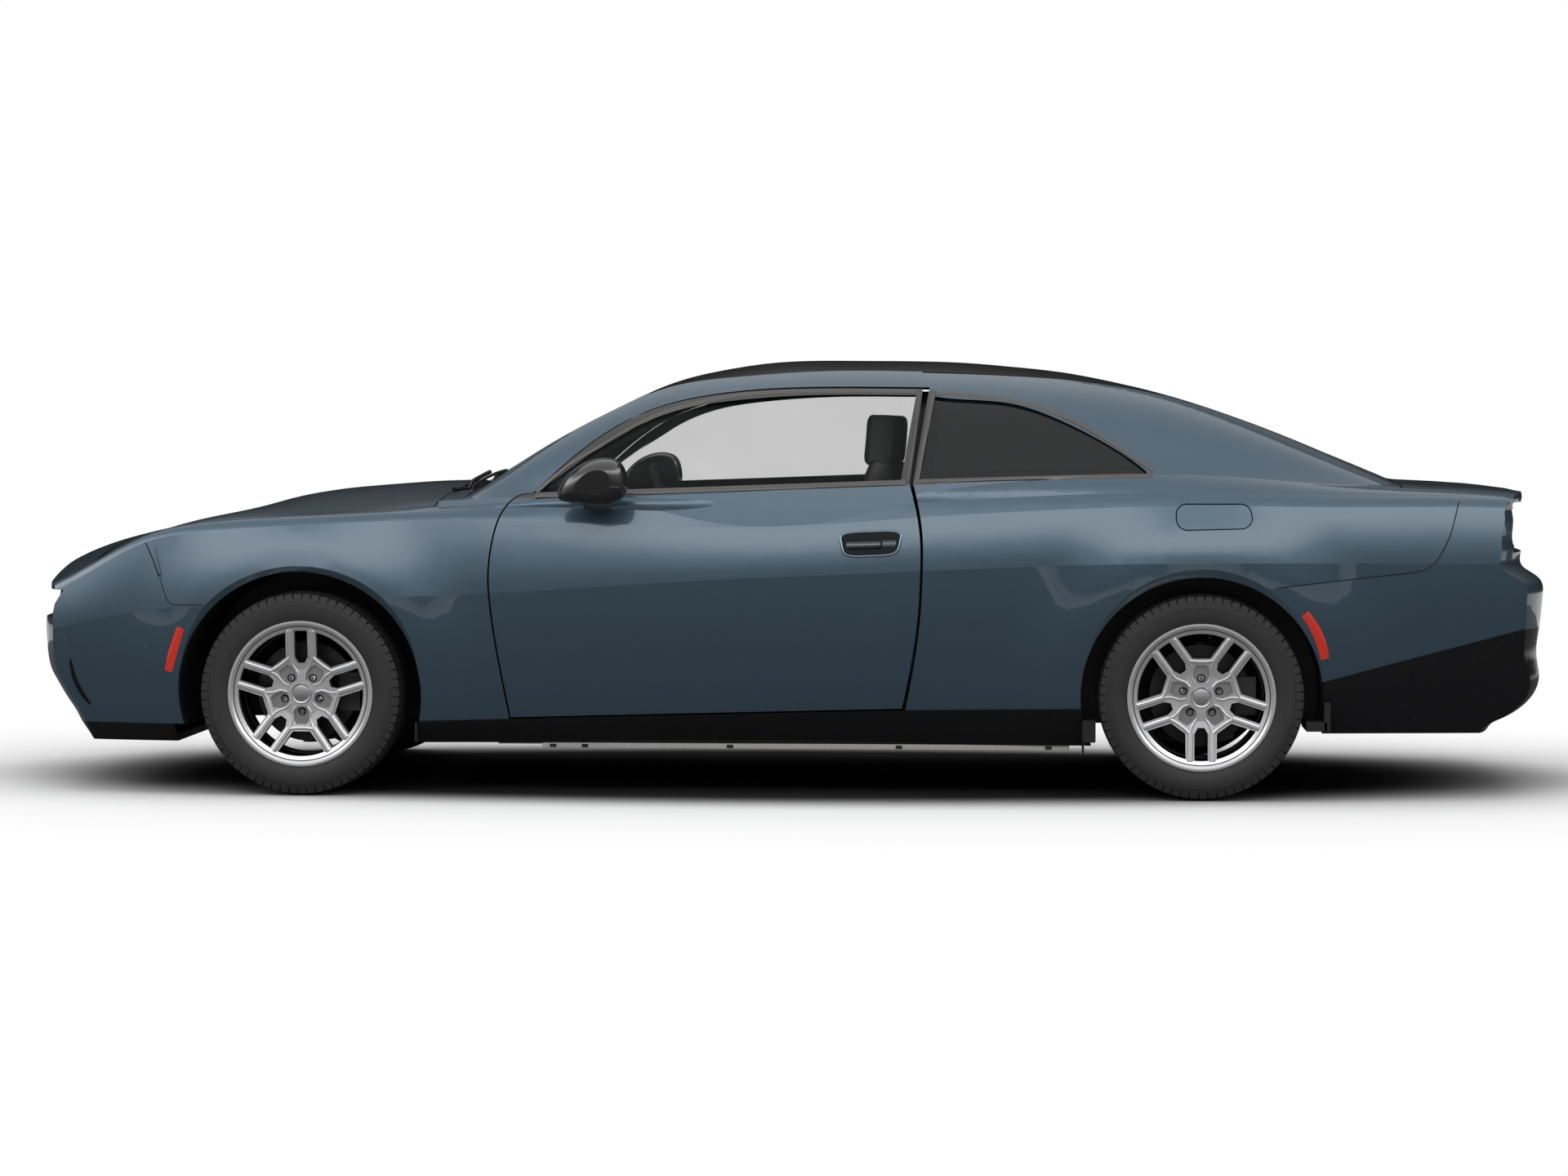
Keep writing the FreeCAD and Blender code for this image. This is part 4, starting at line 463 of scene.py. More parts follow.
for side in SIDES:
    seam = {"view": side, "material": joint_black_and_pocket_shade, "body": "root", "lift": 0.0006, "steps": 80}
    marker = {"view": side, "material": marker_red, "body": "root", "ends": 0.75, "steps": 30}
    ribbon("front_seam_" + side, FRONT_SEAM, 0.0016, "front_fenders", **seam)
    ribbon("rear_seam_" + side, REAR_SEAM, 0.0016, "body_sides", **seam)
    ribbon("front_marker_" + side, FRONT_MARKER, 0.0155, "front_bumper", **marker)
    ribbon("rear_marker_" + side, REAR_MARKER, 0.0165, "rear_bumper", **marker)
    ribbon("air_slit_" + side, AIR_SLIT, 0.0085, "front_bumper", side, joint_black_and_pocket_shade, "root", lift=0.0008,
           ends=0.3)
    for i, (carrier, a, b) in enumerate(SENSORS):
        # Each sensor is body paint in a ring of lighter paint, a painted highlight on its rim.
        patch("sensor_%s_%d" % (side, i), disc_edge((a, b), SENSOR_RADIUS), carrier, side, highlight_paint,
              "root", lift=0.001, crown=0.001)
        patch("sensor_eye_%s_%d" % (side, i), disc_edge((a, b), SENSOR_EYE_RADIUS), carrier, side, paint,
              "root", lift=0.0026)

# Battery tray flange: a bright pressed strip along the foot of each sill, where the battery tray
# is bolted up, with dark plastic clips along its outer edge.
flange_metal = finish("flange metal", (0.55, 0.54, 0.51, 1), (0.70, 0.69, 0.65, 1), 0.38, metallic=0.8,
                      scale=120, bump=0.1)
FLANGE_ENDS = (-0.826, 0.982)
FLANGE_EDGES = (0.650, 0.835)
FLANGE_HEIGHTS = (0.160, 0.1775)
CLIP_STARTS = (-0.80, -0.69, -0.19, 0.39, 0.90)
CLIP_LENGTH = 0.022
CLIP_OUT = 0.837
CLIP_HALF = 0.004
CLIP_HEIGHTS = (0.163, 0.1745)


def bar(name, length, width, height, material, body, bevel=0.002):
    """A box with bevelled edges, from where it starts and ends along, across and up the car."""
    spans = (length, width, height)
    shape = bmesh.new()
    bmesh.ops.create_cube(shape, size=1)
    bmesh.ops.scale(shape, vec=[high - low for low, high in spans], verts=shape.verts)
    bmesh.ops.translate(shape, vec=[(high + low) / 2 for low, high in spans], verts=shape.verts)
    bmesh.ops.bevel(shape, geom=shape.edges, offset=bevel, segments=2, affect="EDGES", material=-1)
    new_piece(name, shape, material, body)


for side, sign in SIDES.items():
    width = sorted(sign * out for out in FLANGE_EDGES)
    bar("tray_flange_" + side, FLANGE_ENDS, width, FLANGE_HEIGHTS, flange_metal, "root")
    for i, x in enumerate(CLIP_STARTS):
        width = (sign * CLIP_OUT - CLIP_HALF, sign * CLIP_OUT + CLIP_HALF)
        bar("tray_clip_%s_%d" % (side, i), (x, x + CLIP_LENGTH), width, CLIP_HEIGHTS, moulded, "root",
            bevel=0.001)

# Arch ends: short flaps of moulded plastic, screwed to the wheel liners, that carry each liner
# down to the level of the sill and bumper.
ARCH_EDGES = (0.70, 0.930)
ARCH_ENDS = (("front_rear", (-1.254, -1.246), (0.185, 0.252)), ("rear_front", (1.024, 1.070), (0.195, 0.270)),
             ("rear_rear", (1.778, 1.850), (0.236, 0.270)), ("rear_corner", (1.838, 1.860), (0.236, 0.335)),
             ("rear_flap", (1.026, 1.031), (0.150, 0.270)))
for side, sign in SIDES.items():
    width = sorted(sign * out for out in ARCH_EDGES)
    for name, length, height in ARCH_ENDS:
        bar("arch_end_%s_%s" % (name, side), length, width, height, moulded, "root")

# Pillar seals: black channels of moulded rubber on the inner faces of the pillars, which the rear
# edges of the door frames close against.
# Height, middle along the car and distance out, from the belt up to the roof.
PILLAR_PLACES = ((1.060, 0.441, 0.834), (1.200, 0.4585, 0.773), (1.320, 0.475, 0.698), (1.376, 0.485, 0.634))
SEAL_HALF = 0.019
SEAL_DEPTH = 0.006
for side, sign in SIDES.items():
    shape = bmesh.new()
    bmesh.ops.create_grid(shape, x_segments=1, y_segments=len(PILLAR_PLACES) - 1, size=1)
    for vert in shape.verts:
        up, middle, out = PILLAR_PLACES[round((vert.co.y + 1) / 2 * (len(PILLAR_PLACES) - 1))]
        vert.co = (middle + SEAL_HALF * vert.co.x, sign * out, up)
    for item in bmesh.ops.extrude_face_region(shape, geom=shape.faces[:])["geom"]:
        if isinstance(item, bmesh.types.BMVert):
            item.co.y -= sign * SEAL_DEPTH
    new_piece("pillar_seal_" + side, shape, moulded, "root")

# Glass: a laminated windscreen and tempered side and rear panes, bonded in or set in seals. They
# are lightly tinted at the doors and dark behind them, and the tint is very slightly uneven.
TINT_GRAIN = 3
TINT_SPREAD = 0.02


def pane(name, colour, see_through):
    """Tinted glass that lets part of the light pass straight on."""
    material = bpy.data.materials.new(name)
    material.use_nodes = True
    tree = material.node_tree
    shader = tree.nodes["Principled BSDF"]
    shader.inputs["Base Color"].default_value = colour
    shader.inputs["Roughness"].default_value = 0.03
    shader.inputs["IOR"].default_value = 1.5
    film = (1 - see_through - TINT_SPREAD, 1 - see_through + TINT_SPREAD)
    tree.links.new(ramp(tree, grain_mask(tree, TINT_GRAIN), *film), shader.inputs["Alpha"])
    return material


door_pane = pane("door glass", (0.012, 0.015, 0.016, 1), 0.86)
dark_pane = pane("dark glass", (0.004, 0.005, 0.006, 1), 0.22)
screen_pane = pane("screen glass", (0.008, 0.010, 0.011, 1), 0.45)
dress(door_pane, "door_glass_left", "door_glass_right")
dress(dark_pane, "quarter_glasses", "hatch_glass")
dress(screen_pane, "windscreen")

# Wipers: two satin black arms that rise from the cowl, each with a rubber blade clipped to it
# along the foot of the windscreen.
WIPERS = (((-1.155, -0.60), (-1.085, -0.30), (-1.06, 0.02)), ((-1.17, 0.02), (-1.09, 0.30), (-1.075, 0.60)))
WIPER_FOOT = 1.02
WIPER_STEPS = 24
ARM_STEPS = 15
BLADE_LIFT = Vector((-0.004, 0, 0.012))
ARM_LIFT = Vector((-0.006, 0, 0.012))
for i, path in enumerate(WIPERS):
    blade = []
    for step in range(WIPER_STEPS + 1):
        spot = along(path, step / WIPER_STEPS)
        beside = Vector((spot.x, spot.y, WIPER_FOOT))
        blade.append(laid("windscreen", "top", spot.x, spot.y, beside) + BLADE_LIFT)
    tube("wiper_blade_%d" % i, blade, 0.0055, moulded, "root")
    tube("wiper_arm_%d" % i, [place + ARM_LIFT for place in blade[:ARM_STEPS]], 0.0075, satin_black, "root")

# Mirrors: a silvered glass set in the rear of each gloss black housing, which is bolted to the
# door and swings with it.
mirror_glass = finish("mirror glass", (0.72, 0.74, 0.76, 1), (0.80, 0.82, 0.84, 1), 0.04, metallic=1.0,
                      scale=5, spread=0.01)
MIRROR_MIDDLE = (1.043, 1.078)
MIRROR_HALF = (0.036, 0.040)
MIRROR_ROUNDING = 0.6


def mirror_edge(sign):
    """The rounded outline of one mirror's glass, seen from behind, for a patch."""
    return lambda angle, swell: (
        sign * MIRROR_MIDDLE[0] + squared_off(math.cos(angle), MIRROR_ROUNDING) * MIRROR_HALF[0] * swell,
        MIRROR_MIDDLE[1] + squared_off(math.sin(angle), MIRROR_ROUNDING) * MIRROR_HALF[1] * swell)


for side, sign in SIDES.items():
    patch("mirror_glass_" + side, mirror_edge(sign), "mirror_" + side, "rear", mirror_glass, "door_" + side,
          lift=0.0008)

# Lamps: a smoked bar in the nose slot with a pale light line in it, and a deep red bar across
# the tail with a brighter line along its top and its foot. The lenses are moulded and clear coated.
smoked_lens = finish("smoked lens", (0.010, 0.010, 0.012, 1), (0.020, 0.020, 0.024, 1), 0.08, scale=20,
                     coat=1.0, spread=0.02)
red_lens = finish("red lens", (0.16, 0.005, 0.005, 1), (0.24, 0.008, 0.007, 1), 0.10, scale=90, coat=1.0,
                  spread=0.02)
light_line = finish("light line", (0.70, 0.72, 0.74, 1), (0.86, 0.88, 0.90, 1), 0.18, scale=900, coat=1.0)
dress(smoked_lens, "front_light_bar")
dress(red_lens, "tail_lamp")
LINE_PLACES = (-0.80, -0.4, 0, 0.4, 0.80)
LIGHT_LINES = (("front_light_line", 0.655, "front_light_bar", "front", light_line),
               ("tail_line_upper", 0.985, "tail_lamp", "rear", marker_red),
               ("tail_line_lower", 0.853, "tail_lamp", "rear", marker_red))
for name, height, carrier, view, material in LIGHT_LINES:
    ribbon(name, [(y, height) for y in LINE_PLACES], 0.006, carrier, view, material, "root", lift=0.003,
           steps=90)

# Metal under the car: a coated steel floor, a bright battery tray and drive housings, and dark
# cast subframes and knuckles, bolted up from below.
coated_floor = finish("underbody coat", (0.020, 0.021, 0.023, 1), (0.034, 0.035, 0.038, 1), 0.6, scale=240,
                      bump=0.3)
tray_metal = finish("tray metal", (0.30, 0.30, 0.31, 1), (0.42, 0.42, 0.43, 1), 0.45, metallic=0.85,
                    scale=160, bump=0.1)
cast_metal = finish("cast metal", (0.060, 0.060, 0.062, 1), (0.100, 0.100, 0.104, 1), 0.5, metallic=0.7,
                    scale=500, bump=0.3)
dress(coated_floor, "floor_pan")
dress(tray_metal, "battery_pack", "drive_units")
dress(cast_metal, "front_subframe", "rear_subframe", "knuckle_left", "knuckle_right")

# Wheels: cast alloy rims, bolted to the hubs, with a bright face and painted shade inboard of it,
# over the barrel, pockets and disc. Each gets a rounded lip, ridges along its arms, hexagon nuts in
# the pockets that the CAD rim has, a plain domed cap in a ring, and a valve.
alloy = finish("bright alloy", (0.60, 0.60, 0.61, 1), (0.78, 0.78, 0.79, 1), 0.33, metallic=0.85, scale=700,
               bump=0.03)
# Painted shade: the dark colour the rim takes inboard of its face.
BARREL_PAINTED_SHADE = (0.045, 0.045, 0.048, 1)
AXLES = {"front": (-1.648, math.pi), "rear": (1.426, 0.0)}
WHEEL_HEIGHT = 0.350
TRACK_HALF = 0.825
PAINTED_SHADE_FADE = (0.066, 0.081)


def rim_with_painted_shade():
    """Bright metal on the wheel's face, with painted shade inboard over the barrel, pockets and disc."""
    material = alloy.copy()
    material.name = "rim alloy with painted shade"
    tree = material.node_tree
    base = tree.nodes["Principled BSDF"].inputs["Base Color"]
    # Painted shade inboard, going over to the bright face outboard.
    outboard = reckon(tree, "ABSOLUTE", axes(tree, "Object")[1])
    bright = ramp(tree, outboard, 0.0, 1.0, TRACK_HALF + PAINTED_SHADE_FADE[0], TRACK_HALF + PAINTED_SHADE_FADE[1])
    tree.links.new(blend(tree, bright, BARREL_PAINTED_SHADE, base.links[0].from_socket), base)
    return material


shaded_rim_alloy = rim_with_painted_shade()
nut_steel = finish("nut steel", (0.30, 0.30, 0.31, 1), (0.48, 0.48, 0.49, 1), 0.22, metallic=1.0, scale=900)
cap_metal = finish("cap metal", (0.55, 0.55, 0.56, 1), (0.66, 0.66, 0.67, 1), 0.30, metallic=1.0, scale=300)


def wheel_place(end, side, radius, angle, out):
    """A point on a wheel: radius and angle from its axis, and distance outboard of its middle."""
    x, phase = AXLES[end]
    turn = angle + phase
    return Vector((x + radius * math.sin(turn), SIDES[side] * (TRACK_HALF + out),
                   WHEEL_HEIGHT + radius * math.cos(turn)))


def turned(profile, end, side, name, material, start=0.0, angle=0.0, steps=32):
    """A small part of revolution whose axis is parallel to the axle, from (radius, out) points."""
    middle = wheel_place(end, side, start, angle, 0)
    sign = SIDES[side]
    shape = bmesh.new()
    verts = [shape.verts.new((middle.x + r, sign * (TRACK_HALF + out), middle.z)) for r, out in profile]
    edges = [shape.edges.new(pair) for pair in zip(verts, verts[1:])]
    bmesh.ops.spin(shape, geom=verts + edges, cent=middle, axis=(0, 1, 0), angle=math.tau, steps=steps,
                   use_merge=True)
    bmesh.ops.remove_doubles(shape, verts=shape.verts, dist=0.00001)
    new_piece(name, shape, material, "wheel_%s_%s" % (end, side), crease=28)


# Profiles are (radius, distance outboard of the wheel's middle).
CAP_PROFILE = ((0.0001, 0.0965), (0.018, 0.0962), (0.027, 0.0945), (0.0295, 0.0925), (0.0300, 0.0905),
               (0.0305, 0.0950), (0.0330, 0.0958), (0.0350, 0.0930), (0.0355, 0.0840))
NUT_PROFILE = ((0.0001, 0.0800), (0.0055, 0.0798), (0.0075, 0.0780), (0.0100, 0.0765), (0.0105, 0.0560))
SEAT_PROFILE = ((0.0108, 0.0740), (0.0135, 0.0750), (0.0142, 0.0735))
LIP_PROFILE = ((0.2150, 0.0960), (0.2160, 0.1030), (0.2185, 0.1045), (0.2260, 0.1062), (0.2350, 0.1100),
               (0.2405, 0.1150), (0.2440, 0.1158), (0.2440, 0.1120))
VALVE_PROFILE = ((0.0001, 0.0890), (0.0030, 0.0885), (0.0040, 0.0860), (0.0040, 0.0740), (0.0050, 0.0720),
                 (0.0050, 0.0560))
# Each ridge's path on the wheel's face, across and up from the axle, and half its width.
ARM_RIDGES = (([(0.043, 0.121), (0.060, 0.145), (0.080, 0.173), (0.099, 0.201)], 0.0105),
              ([(-0.043, 0.121), (-0.060, 0.145), (-0.080, 0.173), (-0.099, 0.201)], 0.0105),
              ([(-0.041, 0.1225), (-0.015, 0.1195), (0.015, 0.1195), (0.041, 0.1225)], 0.0065),
              ([(0.042, 0.119), (0.035, 0.104), (0.0315, 0.086), (0.031, 0.066), (0.020, 0.047)], 0.0045),
              ([(-0.042, 0.119), (-0.035, 0.104), (-0.0315, 0.086), (-0.031, 0.066), (-0.020, 0.047)],
               0.0045))
ARM_PAIRS = 5
LUG_RADIUS = 0.0635
VALVE_RADIUS = 0.2035
VALVE_TURN = 8


def face_ridges(end, side):
    """Crowned ridges along the ten arms and round the five lug pockets of a wheel."""
    where = "%s_%s" % (end, side)
    x, phase = AXLES[end]
    shape = bmesh.new()
    for i in range(ARM_PAIRS):
        turn = math.radians(360 / ARM_PAIRS * i) + phase
        sine, cosine = math.sin(turn), math.cos(turn)
        for points, half in ARM_RIDGES:
            path = [(x + a * cosine + up * sine, WHEEL_HEIGHT - a * sine + up * cosine) for a, up in points]
            lay(shape, path, half, "rim_" + where, side, lift=0.0045, steps=14, sink=0.002)
    new_piece("rim_ridges_" + where, shape, alloy, "wheel_" + where, crease=60)


for end in AXLES:
    for side in SIDES:
        where = "%s_%s" % (end, side)
        dress(shaded_rim_alloy, "rim_" + where)
        face_ridges(end, side)
        turned(LIP_PROFILE, end, side, "rim_lip_" + where, alloy, steps=96)
        turned(CAP_PROFILE, end, side, "cap_" + where, cap_metal)
        for i in range(ARM_PAIRS):
            spot = (LUG_RADIUS, math.radians(360 / ARM_PAIRS * i))
            turned(NUT_PROFILE, end, side, "nut_%s_%d" % (where, i), nut_steel, *spot, steps=6)
            turned(SEAT_PROFILE, end, side, "nut_seat_%s_%d" % (where, i), joint_black_and_pocket_shade, *spot, steps=20)
        turned(VALVE_PROFILE, end, side, "valve_" + where, moulded, VALVE_RADIUS, math.radians(VALVE_TURN),
               steps=12)

# Tyres: moulded rubber, modelled whole in place of the plain CAD rings, so that the tread has its
# grooves. A carcass with a ring on its wall is turned about the axle; five rows of blocks stand on
# its tread, and a row of slanting ones on each shoulder.
rubber = finish("tyre rubber", (0.016, 0.016, 0.016, 1), (0.027, 0.027, 0.027, 1), 0.55, scale=900, bump=0.3,
                sheen=0.35)
# The carcass from one bead up to the middle of the tread, as (radius, distance outboard).
CARCASS = ((0.2290, -0.1090), (0.2505, -0.1092), (0.2515, -0.1135), (0.2580, -0.1185), (0.2700, -0.1240),
           (0.2850, -0.1268), (0.3000, -0.1268), (0.3012, -0.1256), (0.3045, -0.1254), (0.3057, -0.1262),
           (0.3180, -0.1232), (0.3280, -0.1180), (0.3350, -0.1110), (0.3395, -0.1010), (0.3420, -0.0800),
           (0.3432, 0.0))
BLOCK_ROWS = ((-0.1140, -0.0780), (-0.0710, -0.0330), (-0.0260, 0.0260))
BLOCKS_ROUND = 68
BLOCK_SHARE = 0.42
BLOCK_LEAN = 1.1
BLOCK_FOOT = 0.3340
# A shoulder block's corners as (distance outboard, radius), by (outer side, top) of the block.
SHOULDER = {(False, False): (0.1190, 0.3150), (False, True): (0.1060, 0.3380),
            (True, False): (0.1258, 0.3160), (True, True): (0.1152, 0.3425)}
SHOULDER_SHIFT = 0.0198
TREAD_RADIUS = 0.3499
TREAD_HALF = 0.1140
TREAD_DROP = 0.0075
TREAD_ROUNDING = 3.2


def carcass_radius(out):
    """The radius of the tread surface at a distance from the tyre's middle."""
    return TREAD_RADIUS - TREAD_DROP * (abs(out) / TREAD_HALF) ** TREAD_ROUNDING


def repeat_round(shape, verts, middle, count):
    """Copy some vertices, with their edges and faces, round an axle."""
    kept = set(verts)
    geom = verts + [item for item in shape.edges[:] + shape.faces[:] if set(item.verts) <= kept]
    bmesh.ops.spin(shape, geom=geom, cent=middle, axis=(0, 1, 0), angle=math.tau * (1 - 1 / count),
                   steps=count - 1, use_duplicate=True)


def tyre(end, side):
    """One tyre: the turned carcass, its tread blocks and its shoulder blocks."""
    middle = wheel_place(end, side, 0, 0, 0)
    shape = bmesh.new()
    profile = list(CARCASS) + [(r, -out) for r, out in CARCASS[-2::-1]]
    verts = [shape.verts.new((middle.x + r, middle.y + out, middle.z)) for r, out in profile]
    edges = [shape.edges.new(pair) for pair in zip(verts, verts[1:] + verts[:1])]
    bmesh.ops.spin(shape, geom=verts + edges, cent=middle, axis=(0, 1, 0), angle=math.tau, steps=120,
                   use_merge=True)
    bmesh.ops.remove_doubles(shape, verts=shape.verts, dist=0.00001)
    pitch = math.tau / BLOCKS_ROUND
    rows = list(BLOCK_ROWS) + [(-high, -low) for low, high in BLOCK_ROWS[:2]]
    for row, (low, high) in enumerate(rows):
        made = bmesh.ops.create_cube(shape, size=1)["verts"]
        for vert in made:
            out = low if vert.co.y < 0 else high
            lean = (out - (low + high) / 2) * BLOCK_LEAN * (-1 if row % 2 else 1)
            turn = pitch * math.copysign(BLOCK_SHARE, vert.co.x) + lean + pitch / 2 * (row % 2)
            radius = carcass_radius(out) if vert.co.z > 0 else BLOCK_FOOT
            vert.co = middle + Vector((radius * math.sin(turn), out, radius * math.cos(turn)))
        repeat_round(shape, made, middle, BLOCKS_ROUND)
    for way in (-1, 1):
        made = bmesh.ops.create_cube(shape, size=1)["verts"]
        for vert in made:
            out, radius = SHOULDER[(vert.co.y > 0, vert.co.z > 0)]
            turn = pitch * math.copysign(BLOCK_SHARE, vert.co.x) - SHOULDER_SHIFT
            turn += pitch / 2 if way > 0 else 0
            vert.co = middle + Vector((radius * math.sin(turn), way * out, radius * math.cos(turn)))
        repeat_round(shape, made, middle, BLOCKS_ROUND)
    where = "%s_%s" % (end, side)
    piece = new_piece("tyre_tread_" + where, shape, rubber, "wheel_" + where, crease=30)
    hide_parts("tyre_" + where)


for end in AXLES:
    for side in SIDES:
        dress(rubber, "tyre_%s_%s" % (end, side))
        tyre(end, side)

# Cabin: a soft-touch dash, console and steering wheel, padded leather seats in place of the plain
# CAD ones, and a cloth roof lining. The pads are crowned forms with sewn channels.
soft_touch = finish("soft touch", (0.016, 0.016, 0.017, 1), (0.028, 0.028, 0.029, 1), 0.55, scale=1200,
                    bump=0.3)
leather = finish("leather", (0.018, 0.017, 0.017, 1), (0.036, 0.034, 0.034, 1), 0.46, scale=260, bump=0.5)
lining_cloth = finish("lining cloth", (0.030, 0.030, 0.031, 1), (0.050, 0.050, 0.051, 1), 0.85, scale=1500,
                      bump=0.15, sheen=0.1)
dress(soft_touch, "dashboard", "steering_wheel", "centre_console")
dress(leather, "front_seats", "rear_seat")
SEAT_OFFSET = 0.40
CUSHION_SPINE = [(-0.425, 0.482), (-0.22, 0.490), (0.0, 0.470), (0.165, 0.454)]
BACK_SPINE = [(0.125, 0.470), (0.200, 0.660), (0.285, 0.930), (0.338, 1.135)]
HEAD_SPINE = [(0.318, 1.125), (0.328, 1.215), (0.333, 1.303)]
BENCH_SPINE = [(0.565, 0.428), (0.76, 0.418), (0.93, 0.402)]
BENCH_BACK_SPINE = [(0.985, 0.470), (1.040, 0.740), (1.105, 1.030)]
SEAT_CHANNELS = (-0.56, 0.56)
CUSHION_ROWS = (0.3, 0.55, 0.78)
BACK_ROWS = (0.25, 0.45, 0.65, 0.82)
BENCH_CHANNELS = (-0.62, -0.36, -0.06, 0.06, 0.36, 0.62)
CHANNEL_HALF = 0.045
ROW_HALF = 0.030
ROW_REACH = 0.55
SEAM_DEPTH = 0.13


def pad(name, spine, half, thick, middle_y, channels=(), rows=()):
    """A crowned cushion along a side-view spine, with channels along it and rows across it."""
    shape = bmesh.new()
    bmesh.ops.create_cube(shape, size=2)
    bmesh.ops.subdivide_edges(shape, edges=shape.edges[:], cuts=26, use_grid_fill=True)
    for vert in shape.verts:
        a, b, c = vert.co
        share = a / 2 + 0.5
        # The cushion thins towards its edges and ends, and is drawn in a little at its corners.
        crown = (1 - 0.34 * abs(b) ** 5) * (1 - 0.30 * abs(a) ** 6)
        sewn = sum(math.exp(-((b - line) / CHANNEL_HALF) ** 2) for line in channels)
        if abs(b) < ROW_REACH:
            sewn += sum(math.exp(-((share - line) / ROW_HALF) ** 2) for line in rows)
        depth = thick * c * crown * (1 - SEAM_DEPTH * min(sewn, 1))
        width = half * (0.965 + 0.035 * a * a) * (1 - 0.05 * c * c) * (1 - 0.04 * abs(a) ** 6)
        spot = along(spine, share) + square_to(spine, share, 0.02) * depth
        vert.co = (spot.x, middle_y + b * width, spot.y)
    piece = new_piece(name, shape, leather, "root", crease=70)
    return piece


seats = []
for side, sign in SIDES.items():
    y = sign * SEAT_OFFSET
    seats.append(pad("seat_cushion_" + side, CUSHION_SPINE, 0.250, 0.062, y, SEAT_CHANNELS, CUSHION_ROWS))
    seats.append(pad("seat_back_" + side, BACK_SPINE, 0.245, 0.062, y, SEAT_CHANNELS, BACK_ROWS))
    seats.append(pad("headrest_" + side, HEAD_SPINE, 0.138, 0.058, y))
    for post in (-0.07, 0.07):
        tube("headrest_post_%s_%s" % (side, "inner" if post * sign < 0 else "outer"),
             [(0.330, y + post, 1.10), (0.331, y + post, 1.17)], 0.006, nut_steel, "root")
    bar("seat_base_" + side, (-0.320, 0.150), (y - 0.185, y + 0.185), (0.3125, 0.425), soft_touch, "root",
        bevel=0.012)
for piece in seats:
    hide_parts("front_seats")
bench = pad("bench_cushion", BENCH_SPINE, 0.550, 0.058, 0, BENCH_CHANNELS, (0.5,))
bench_back = pad("bench_back", BENCH_BACK_SPINE, 0.550, 0.045, 0, BENCH_CHANNELS, (0.6,))
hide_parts("rear_seat")
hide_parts("rear_seat")
bar("bench_base", (0.580, 0.955), (-0.540, 0.540), (0.3125, 0.385), soft_touch, "root", bevel=0.012)
bar("bench_shelf", (1.062, 1.165), (-0.540, 0.540), (0.5625, 0.860), soft_touch, "root", bevel=0.012)
ROOF_MIDDLE = [(-0.40, 0.0), (0.0, 0.0), (0.6, 0.0), (1.26, 0.0)]
ribbon("roof_lining", ROOF_MIDDLE, 0.50, "roof_panel", "under", lining_cloth, "root", lift=0.003)
bar("display", (-0.700, -0.688), (-0.130, 0.190), (0.945, 1.030), gloss_black, "root", bevel=0.004)

# Studio: a pale floor with a painted shadow under the car, which fades into a white backdrop and is
# clear from below. A dark disc on it and a round wall, dim at its foot and on the far side, are seen
# only in reflections, like the cards that photographers set up. Two large soft lamps light the near side.
FLOOR_REACH = 40.0
FLOOR_DROP = 0.001
FLOOR_TONE = (0.80, 0.80, 0.80, 1)
# Painted shadow: the floor's colour under the car, standing in for a shadow cast there.
PAINTED_SHADOW_TONE = (0.035, 0.035, 0.035, 1)
PAINTED_SHADOW_HALF = (2.9, 1.2)
PAINTED_SHADOW_EDGE = (0.72, 1.12)
FADE_HALF = (4.4, 2.2)
FADE_EDGE = (0.55, 1.25)
WHITE = (1, 1, 1, 1)


def oval_distance(tree, half):
    """How far a point of the floor lies from the middle: 1 on an oval of these half sizes."""
    place = tree.nodes.new("ShaderNodeTexCoord")
    squeeze = tree.nodes.new("ShaderNodeMapping")
    squeeze.inputs["Scale"].default_value = (1 / half[0], 1 / half[1], 1)
    away = tree.nodes.new("ShaderNodeVectorMath")
    away.operation = "LENGTH"
    tree.links.new(place.outputs["Object"], squeeze.inputs["Vector"])
    tree.links.new(squeeze.outputs["Vector"], away.inputs[0])
    return away.outputs["Value"]


def either(tree, share, first, second):
    """One shader or the other, by a socket's value."""
    node = tree.nodes.new("ShaderNodeMixShader")
    for socket, item in zip(node.inputs, (share, first, second)):
        tree.links.new(item, socket)
    return node.outputs["Shader"]


